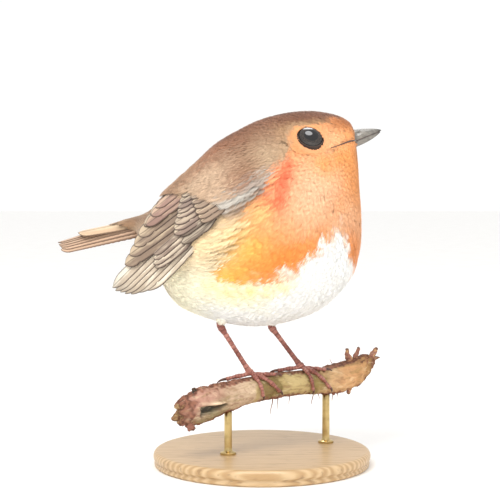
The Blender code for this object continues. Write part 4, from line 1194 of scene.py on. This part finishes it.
# ==== eyes and bill ====
def make_eyes(eyes, cornea):
    rings, around = 40, 64
    polar, turn = lattice(np.linspace(0.02, math.pi - 0.02, rings), turns(around))
    out = EYE_RADIUS * np.sin(polar) * lid_stretch(turn)
    behind = polar > math.pi / 2
    for eye in eyes:
        points = (eye.centre + (out * np.cos(turn))[:, None] * eye.forward + (out * np.sin(turn))[:, None] * eye.upright
                  + (EYE_DEPTH * np.cos(polar))[:, None] * eye.outward)
        ball = fix_normals(add_piece(f"eyeball_{eye.name}", points, capped_grid(rings, around), cornea,
                                     {"from_pupil": np.sin(polar) + behind}))
        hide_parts(f"eye_{eye.name}")


def bill_half_width(half_width, t):
    """Half the bill's width by share of its length, with a flare at the face."""
    return half_width * (1 - np.maximum(t, 0) ** 1.3) ** 0.85 + BILL_FLARE * bell(t, -0.16, 0.2)


def mandible(height, half_width, sign, short, taper, sharpness):
    """Half of the bill, with a ridge along its middle and a flat inner face, and how dark its horn is."""
    rings, around = 56, 44
    arc = turns(around)
    swing, rows, dark = np.abs(np.sin(arc)), [], []
    for t in np.linspace(-0.16, 0.985, rings):
        tall = height * (1 - max(t, 0) ** taper[0]) ** taper[1]
        rise = np.where(np.sin(arc) > 0, swing**sharpness * tall, -0.08 * tall * swing)
        rows.append(BILL_BASE + (BILL_LENGTH - short) * t * BILL_AHEAD + (sign * (GAPE + rise))[:, None] * BILL_UP
                    + (bill_half_width(half_width, t) * np.cos(arc))[:, None] * TO_LEFT)
        dark.append(0.8 * ramp(t, 0.74, 1.0) + 0.5 * swing**5 + 0.3 * bell(swing, 0, 0.2))
    return np.vstack(rows), capped_grid(rings, around), np.clip(np.concatenate(dark), 0, 1)


def make_bill(tree, horn, gape, bristle):
    upper = mandible(UPPER_HEIGHT, BILL_HALF_WIDTH, 1, 0.0, (1.25, 0.75), 1.15)
    lower = mandible(LOWER_HEIGHT, BILL_HALF_WIDTH * 0.94, -1, 0.5, (2.6, 0.8), 0.8)
    away = upper[0] - (BILL_BASE + 3.9 * BILL_AHEAD + 2.4 * BILL_UP)  # a slit nostril in a shallow hollow
    upper[0][:, 1] *= 1 - 0.3 * np.exp(-((away @ BILL_AHEAD / 1.2) ** 2) - (away @ BILL_UP / 0.45) ** 2)
    for name, solid, (points, faces, dark) in (("upper_mandible", "bill_upper", upper),
                                               ("lower_mandible", "bill_lower", lower)):
        made = fix_normals(add_piece(name, points, faces, horn, {"horn_dark": dark}))
        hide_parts(solid)
    flange, crease = gape_parts(tree)
    for name, parts, material in (("gape_flange", flange, horn), ("gape_crease", crease, gape),
                                  ("rictal_bristles", bristle_parts(), bristle)):
        add_joined(name, parts, material)


def gape_parts(tree):
    """Bare skin behind the bill's corner, and the dark crease that runs along the bill and back under the lores."""
    flange, crease = [], []
    along, t = np.linspace(0.03, 0.93, 30), np.linspace(0, 1, 40)
    turn, height = 0.2 + 1.24 * t, 124.9 - 2.7 * t**1.5 + 0.55 * np.sin(math.pi * np.clip(t * 1.15, 0, 1))
    for _, side in SIDES:
        wide = side * (bill_half_width(BILL_HALF_WIDTH, along) - 0.06)
        parting = BILL_BASE + BILL_LENGTH * along[:, None] * BILL_AHEAD + wide[:, None] * TO_LEFT
        crease.append(tube_mesh(parting, 0.15 * (1 - 0.5 * along), 10))
        corner = []
        for a, z in zip(turn, height):  # onto the face, from all round a line inside the head
            way = Vector((math.cos(a), side * math.sin(a), 0))
            corner.append(tree.ray_cast(Vector((24, 0, z)) + 60 * way, -way, 100)[0] - 0.05 * way)
        crease.append(tube_mesh(corner, 0.1 + 0.26 * np.sin(math.pi * t**0.8) ** 1.2 * (1 - 0.4 * t), 12, 0.8))
        flange.append(tube_mesh(corner[:18], np.linspace(0.5, 0.15, 18), 20, 0.8))
    return flange, crease


def bristle_parts():
    """Fine bristles that lean forwards from the bill's corners."""
    rng = np.random.default_rng(SEED + 5)
    t = np.linspace(0, 1, 12)[:, None]
    parts = []
    for _, side in SIDES:
        for k in range(7):
            root = np.array((33.8 - 0.5 * k, side * (3.4 + 0.42 * k), 127.4 - 0.25 * k))
            reach = rng.uniform(2.8, 4.0)
            way = np.array((1.0, side * (0.35 + 0.06 * k), -0.1 - 0.08 * k + rng.uniform(-0.1, 0.1)))
            path = root + t * reach * unit(way) + t**2 * (0, 0, -0.7)
            parts.append(tube_mesh(path, 0.06 * (1 - 0.8 * t[:, 0]), 6))
    return parts


# ==== perch ====
def perch_line(at):
    """Middle and radius of the branch at distances along it."""
    at = np.atleast_1d(np.asarray(at, float))
    row = spline(PERCH_LINE, np.interp(at, PERCH[:, 0], np.arange(len(PERCH))))
    return PERCH_MIDDLE + at[:, None] * PERCH_LEVEL + row[:, 1:2] * UP, row[:, 2]


def perch_point(at, turn, clear=0.0):
    """Points on the branch or clear of it: distance along, turn in degrees from the top to the bird's right."""
    middle, radius = perch_line(at)
    turn = np.radians(np.atleast_1d(turn))[:, None]
    return middle + (radius + clear)[:, None] * (np.cos(turn) * UP + np.sin(turn) * np.cross(PERCH_LEVEL, UP))


def outward_of(points, at):
    """The ways from the branch's middle line to points beside it."""
    return unit(points - perch_line(at)[0])


def perch_relief(along, turn, points):
    """Height over the branch's round, and its colour, for points at distances along it and turns from its top."""
    radians = np.radians(turn)
    from_top = np.abs((turn + 180) % 360 - 180)
    calm = 1 - np.max([bell(along, at, 9.0) for at in FOOT_AT.values()], axis=0)  # smooth under the feet
    stretched = np.stack([along * 0.22, np.cos(radians) * 5, np.sin(radians) * 5], 1)
    furrows, grain = waves(stretched, 2.0, 21) + 0.6 * waves(stretched, 1.0, 22), waves(points, 1.6, 23)
    relief = calm * sum(h * np.sin(often * along * CIRCLE + n) * np.cos(n * radians) for n, often, h in PERCH_WAVES)
    relief += (0.06 + 0.1 * calm) * np.clip(furrows, -1.6, 1.2) + (0.03 + 0.05 * calm) * grain
    for at, toward, height, reach in LUMPS:
        swing = (turn - toward + 180) % 360 - 180
        relief += height * spot(along / reach, swing / 34, (at / reach, 0), 1) * np.maximum(calm, abs(swing) > 90)
    # Bark is left in ragged strips along the top and the bottom, and in patches on the far side.
    ragged = 9 * waves(stretched, 3.4, 33) + 7 * waves(points, 2.2, 34)
    far_side = ramp(waves(stretched, 7.0, 35) - 0.9 * np.sin(radians), 0.7, 1.2)
    near_ends = ramp(np.abs(along - 2.2) + 2 * waves(points, 3.0, 36), 40.0, 43.0) * 0.9
    bark = np.max([1 - ramp(from_top + ragged, 22, 34), 1 - ramp(180 - from_top + ragged, 26, 38), far_side,
                   near_ends], axis=0)
    relief += (0.1 + 0.3 * calm) * bark * (0.8 + 0.25 * waves(points, 1.1, 37))
    # A hollow tapers to a point along the near side, under a pale lip; the hollow is painted nearly black, as painted
    # shade.
    share = (along + 35.5) / 11.5
    off, half = turn - 102 - 8 * share, 19 * (1 - share) + 2.5
    hollow = ramp(half + 4 - np.abs(off), 0, 7) * band(share, -0.1, 0.05, 0.92, 1.05)
    lip = bell(off, -half - 8, 6) * bell(share, 0.62, 0.32)
    relief += 0.45 * lip - 1.9 * hollow
    at = along + 1.6 * waves(points, 5.0, 31)
    stations, tints = [w[0] for w in WOOD], np.array([colour(w[1]) for w in WOOD])
    wood = np.stack([np.interp(at, stations, tints[:, k]) for k in range(3)], 1)
    wood = blend(wood, colour("#848058"), 0.6 * ramp(from_top, 100, 150) * ramp(-along, 20, 30))
    wood = blend(wood, colour("#B58878"), 0.7 * (1 - ramp(from_top, 60, 96)) * ramp(-along, 20, 29))
    wood = blend(wood, colour("#8A7648"), 0.4 * ramp(furrows, 0.4, 1.6))
    crust = blend(plain(colour("#8C5E4C"), len(along)), colour("#5A382E"), ramp(waves(points, 2.0, 38), -0.6, 1.0))
    tint = blend(blend(wood, crust, 0.94 * bark), colour("#EBD2B4"), lip)
    # painted shade in the hollow
    return relief, blend(tint, colour("#33332D"), hollow * 0.94)


def make_branch(bark):
    rings, around = 250, 120
    at, turn = lattice(np.linspace(PERCH[0, 0], PERCH[-1, 0], rings), np.arange(around) * 360 / around)
    points = perch_point(at, turn)
    relief, tint = perch_relief(at, turn, points)
    end = np.maximum(ramp(-at, 39.5, 42.8), ramp(at, 43.5, 47.5))
    round_it = np.cos(np.radians(turn)) * 4, np.sin(np.radians(turn)) * 4
    jag = end * waves(np.stack([*round_it, np.sign(at) * 9], 1), 3.0, 24) * 0.9 * np.sign(at)
    points = points + (relief - 0.4 * end)[:, None] * outward_of(points, at) + jag[:, None] * PERCH_LEVEL
    grid, quads, caps = [points], [grid_faces(rings, around, wrap=True)], []
    k = np.arange(around)
    j, first = (k + 1) % around, len(points)
    for ring, sign in ((0, -1), (rings - 1, 1)):  # the two broken ends, sunk in towards their middles
        before = ring * around
        outer = points[before:before + around]
        centre = outer.mean(axis=0)
        for step, share in enumerate((0.82, 0.6, 0.36, 0.14)):
            sunk = 1.3 * (1 - share) + 0.5 * waves(outer + step * 3.1, 1.7, 25 + step)
            grid.append(centre + (outer - centre) * share - PERCH_LEVEL * sign * sunk[:, None])
            quads.append(np.stack([before + k, before + j, first + j, first + k], 1))
            before, first = first, first + around
        caps.append((before + k)[None])
    ends = np.vstack(grid[1:])
    rotten = ramp(waves(ends, 2.0, 39), -0.5, 1.0)
    tint = np.vstack([tint, blend(plain(colour("#A98A64"), len(ends)), colour("#6E4A3A"), rotten)])
    return fix_normals(add_piece("branch", np.vstack(grid), [np.vstack(quads), *caps], bark, {"bark_tint": tint}))


def spur_parts():
    """Stubs of broken twigs."""
    around, t = 24, np.linspace(0, 1, 30)[:, None]
    parts = []
    for at, turn, length, radius, lean in SPURS:
        foot, head = perch_point(at, turn, -2.5)[0], perch_point(at, turn, length)[0]
        path = foot + (head - foot) * t + PERCH_LEVEL * lean * length * t**1.5 + 0.2 * np.sin(t * 9 + at)
        radii = radius * np.interp(t[:, 0], (0, 0.35, 0.75, 1), (1.7, 1.15, 0.85, 0.55))
        points, faces = tube_mesh(path, radii, around)
        away = points - np.vstack([np.repeat(path, around, axis=0), path[:1], path[-1:]])
        points = points + away * (0.2 * waves(points, 1.5, 41))[:, None]
        tip = np.concatenate([np.repeat(t[:, 0], around), [0, 1]])
        tint = plain(colour("#4A423A" if at == DARK_SPUR else "#96685A"), len(points))
        tint = blend(tint, colour("#C79C70"), ramp(waves(points, 2.5, 42), 0.0, 1.2) * (at > 0))
        parts.append((points, faces, {"bark_tint": blend(tint, colour("#4E3428"), ramp(tip, 0.86, 1.0) * 0.7)}))
    return parts


def fibre_parts():
    t = np.linspace(0, 1, 30)
    parts = []
    for at, turn, size, twist, thick in FIBRES:
        base = perch_point(at, turn, -0.3)
        rise, drift = size * np.sin(t * 1.45), twist * size * 0.45 * t**1.6 * (1.2 + 0.4 * np.sin(t * 5))
        path = base + rise[:, None] * outward_of(base, at) + drift[:, None] * PERCH_LEVEL
        points, faces = tube_mesh(path, thick * (1 - 0.7 * t), 8)
        parts.append((points, faces, {"bark_tint": plain(colour("#8A5648"), len(points))}))
    return parts


def make_perch(bark):
    branch = make_branch(bark)
    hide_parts("perch")
    for name, parts in (("branch_spurs", spur_parts()), ("branch_fibres", fibre_parts())):
        add_joined(name, parts, bark)


# ==== legs and feet ====
def foot_centre(name):
    return perch_point(FOOT_AT[name], 0, FOOT_RADIUS + TOE_CLEARANCE)[0]


def scaled_tube(path, radii, pitch, depth, around=28, offset=0):
    """A tube ringed with overlapping scales, and how deep each point lies in a crease, where shade is painted."""
    run = np.concatenate([[0], np.cumsum(np.linalg.norm(np.diff(path, axis=0), axis=1))])
    saw = (run / pitch + offset) % 1
    points, faces = tube_mesh(path, radii + depth * (saw**0.7 - 0.5), around)
    crease = np.concatenate([np.repeat(bell(saw, 0, 0.14) + bell(saw, 1, 0.1), around), [0, 0]])
    return points, faces, {"crease": np.clip(crease, 0, 1)}


def toe_path(foot_at, heading, run, clear):
    """A path that winds over the branch from the foot, and the way out of the branch along it."""
    heading = math.radians(heading)
    turn = np.degrees(run * math.sin(heading) / (perch_line(foot_at)[1] + clear))
    path = perch_point(foot_at + run * math.cos(heading), turn, clear)
    return path, outward_of(path, foot_at)


def make_legs(scales, horn):
    for name, _ in SIDES:
        ankle, foot = np.array(ANKLES[name]), foot_centre(name)
        down = unit(foot - ankle)
        t = np.linspace(-0.06, 1, 120)
        parts = [scaled_tube(ankle + (foot - down * 0.2 - ankle) * t[:, None], np.interp(t, *SHANK), 1.75, 0.12)]
        claws = []
        for k, (heading, length, radius, claw) in enumerate(TOES):
            clear = radius + TOE_CLEARANCE - 0.15
            u = np.linspace(0, 1, 70)
            path, outward = toe_path(FOOT_AT[name], heading, u * length, clear)
            lift = bell(u, 0, 0.16) * (FOOT_RADIUS - radius) * 0.9
            joints = 0.96 + 0.13 * np.cos(CIRCLE * u * (2 if k == 0 else 3))
            radii = radius * joints * (1 - 0.24 * u)
            parts.append(scaled_tube(path + lift[:, None] * outward, radii, 1.15, 0.09, 24, 0.3 * k))
            u = np.linspace(0, 1, 30)
            path, outward = toe_path(FOOT_AT[name], heading, np.linspace(length - 0.5, length + claw, 30), clear)
            arch = 0.55 * np.sin(math.pi * np.clip(u * 1.15, 0, 1)) - 0.35 * u**2
            claws.append(tube_mesh(path + arch[:, None] * outward, radius * np.interp(u, *CLAW_TAPER), 18, 0.75))
        u = np.linspace(0, 1, 30)
        ball = FOOT_RADIUS * np.sqrt(np.clip(1 - (2 * u - 1) ** 2, 0.03, 1))
        parts.append(scaled_tube(foot + np.outer((u - 0.5) * 2.4, down), ball, 0.9, 0.08, 24))
        leg = add_joined(f"leg_{name}", parts, scales)
        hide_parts(f"tarsus_{name}", f"foot_{name}")
        nails = add_joined(f"claws_{name}", claws, horn)
        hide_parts(*(f"claw_{name}_{k}" for k in (1, 2, 3, 4)))


# ==== stand, floor, light, camera ====
def make_stand(wood, brass):
    low, high = (np.array(v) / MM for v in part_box("stand_base"))
    radius, top, around = (high[0] - low[0]) / 2, high[2], 160
    # the turned edge: distance in from the rim, height
    edge = [(1.2, 0.0), (0.5, 0.5), (0.35, 1.2), (1.0, 1.9), (0.6, 2.5)]
    edge += [(0.6 - 0.6 * math.sin(a), 3.9 - 1.4 * math.cos(a)) for a in np.linspace(0.3, 1.57, 7)]
    edge += [(1.9 - 1.9 * math.cos(a), top - 2.0 + 2.0 * math.sin(a)) for a in np.linspace(0.1, 1.57, 8)]
    inset, height = np.array([*edge, (6.0, top)]).T
    out, turn = lattice(radius - inset, turns(around))
    points = np.stack([out * np.cos(turn), out * np.sin(turn), np.repeat(height, around)], 1)
    base = fix_normals(add_piece("stand_disc", points, capped_grid(len(inset), around), wood))
    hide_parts("stand_base")
    for name in ("stand_rod_rear", "stand_rod_front"):
        low, high = (np.array(v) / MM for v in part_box(name))
        # a collar on the base, then the plain rod: height over the base's top, share of the rod's radius
        heights = top - 0.1 + np.array((0.0, 0.02, 0.9, 1.2, 1.5, 2.2, high[2] - top + 0.2))
        radii = (high[0] - low[0]) / 2 * np.array((1.9, 2.1, 2.1, 1.7, 1.15, 1.0, 1.0))
        place = np.linspace(0, 6, 40)
        path = (low + high) / 2 * (1, 1, 0) + np.interp(place, range(7), heights)[:, None] * UP
        rod = fix_normals(add_piece(f"{name}_turned", *tube_mesh(path, np.interp(place, range(7), radii), 40), brass))
        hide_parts(name)


def make_stage():
    look = Look("floor_paper", 0.9)
    shade = look.to_range(look.noise(40.0, 2.0), 0.3, 0.7)
    look.paint(look.mix(shade, (0.93, 0.925, 0.915), (0.95, 0.948, 0.94)))
    mesh = bpy.data.meshes.new("floor")
    mesh.from_pydata([(-4, -4, 0), (4, -4, 0), (4, 4, 0), (-4, 4, 0)], [], [(0, 1, 2, 3)])
    mesh.materials.append(look.material)
    floor = bpy.data.objects.new("floor", mesh)
    bpy.context.scene.collection.objects.link(floor)


def add_light(name, at, size, power, tint, lights, mirrored):
    """A round lamp turned to the bird, that lights it, is mirrored in its eyes, or both."""
    light = bpy.data.lights.new(name, "AREA")
    light.shape = "DISK"
    light.size, light.energy, light.color = size, power, tint
    made = bpy.data.objects.new(name, light)
    made.location, made.visible_diffuse, made.visible_glossy = at, lights, mirrored
    made.rotation_euler = (Vector((0, 0, 0.08)) - Vector(at)).to_track_quat("-Z", "Y").to_euler()
    bpy.context.scene.collection.objects.link(made)


def make_light():
    world = bpy.data.worlds.new("studio")
    bpy.context.scene.world = world
    world.use_nodes = True
    background = world.node_tree.nodes["Background"].inputs
    background["Color"].default_value, background["Strength"].default_value = (1.0, 0.995, 0.985, 1), 1.03
    add_light("key", (-0.34, -0.52, 0.84), 0.5, 5.4, (1.0, 0.985, 0.96), True, False)
    add_light("fill", (0.30, -0.85, 0.10), 0.7, 3.6, (1.0, 0.995, 0.985), True, False)
    for name, side in SIDES:
        add_light(f"catchlight_{name}", (0.0, side * 0.46, 1.06), 0.62, 8.0, (1.0, 1.0, 1.0), False, True)
    bpy.context.scene.view_settings.view_transform = "Standard"


def make_camera():
    scene = bpy.context.scene
    camera = bpy.data.objects.new("camera", bpy.data.cameras.new("camera"))
    camera.data.lens, camera.data.sensor_width = VIEW_LENS, VIEW_SENSOR
    back = Vector((0, -math.cos(VIEW_ELEVATION), math.sin(VIEW_ELEVATION)))
    camera.location = (Vector(VIEW_TARGET) + back * VIEW_WIDTH * VIEW_LENS / VIEW_SENSOR) * MM
    camera.rotation_euler = (-back).to_track_quat("-Z", "Y").to_euler()
    scene.collection.objects.link(camera)
    scene.camera = camera


def main():
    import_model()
    rng = np.random.default_rng(SEED)
    tree = body_tree(120, 96)
    wing = WingSurface(tree)
    eyes = [find_eye(tree, name, side) for name, side in SIDES]
    plumes, vanes, skin = plumage_material("plumage", 0.3), vane_material(), plumage_material("feathered_skin", 0.0)
    horn = horn_material("bill_horn", "#5C5955", "#989389", 0.32)
    claw = horn_material("claw_horn", "#3E2620", "#6E463C", 0.3)
    make_skin(skin, eyes)
    make_coat(plumes, wing, eyes, rng)
    make_thigh_feathers(plumes, rng)
    make_wings(wing, vanes, rng)
    make_tail(vanes, rng)
    make_eyes(eyes, eye_material())
    make_bill(tree, horn, horn_material("gape_skin", "#33231E", "#573B32", 0.5), claw)
    make_perch(bark_material())
    make_legs(leg_material(), claw)
    make_stand(wood_material(), brass_material())
    make_stage()
    make_light()
    make_camera()


main()
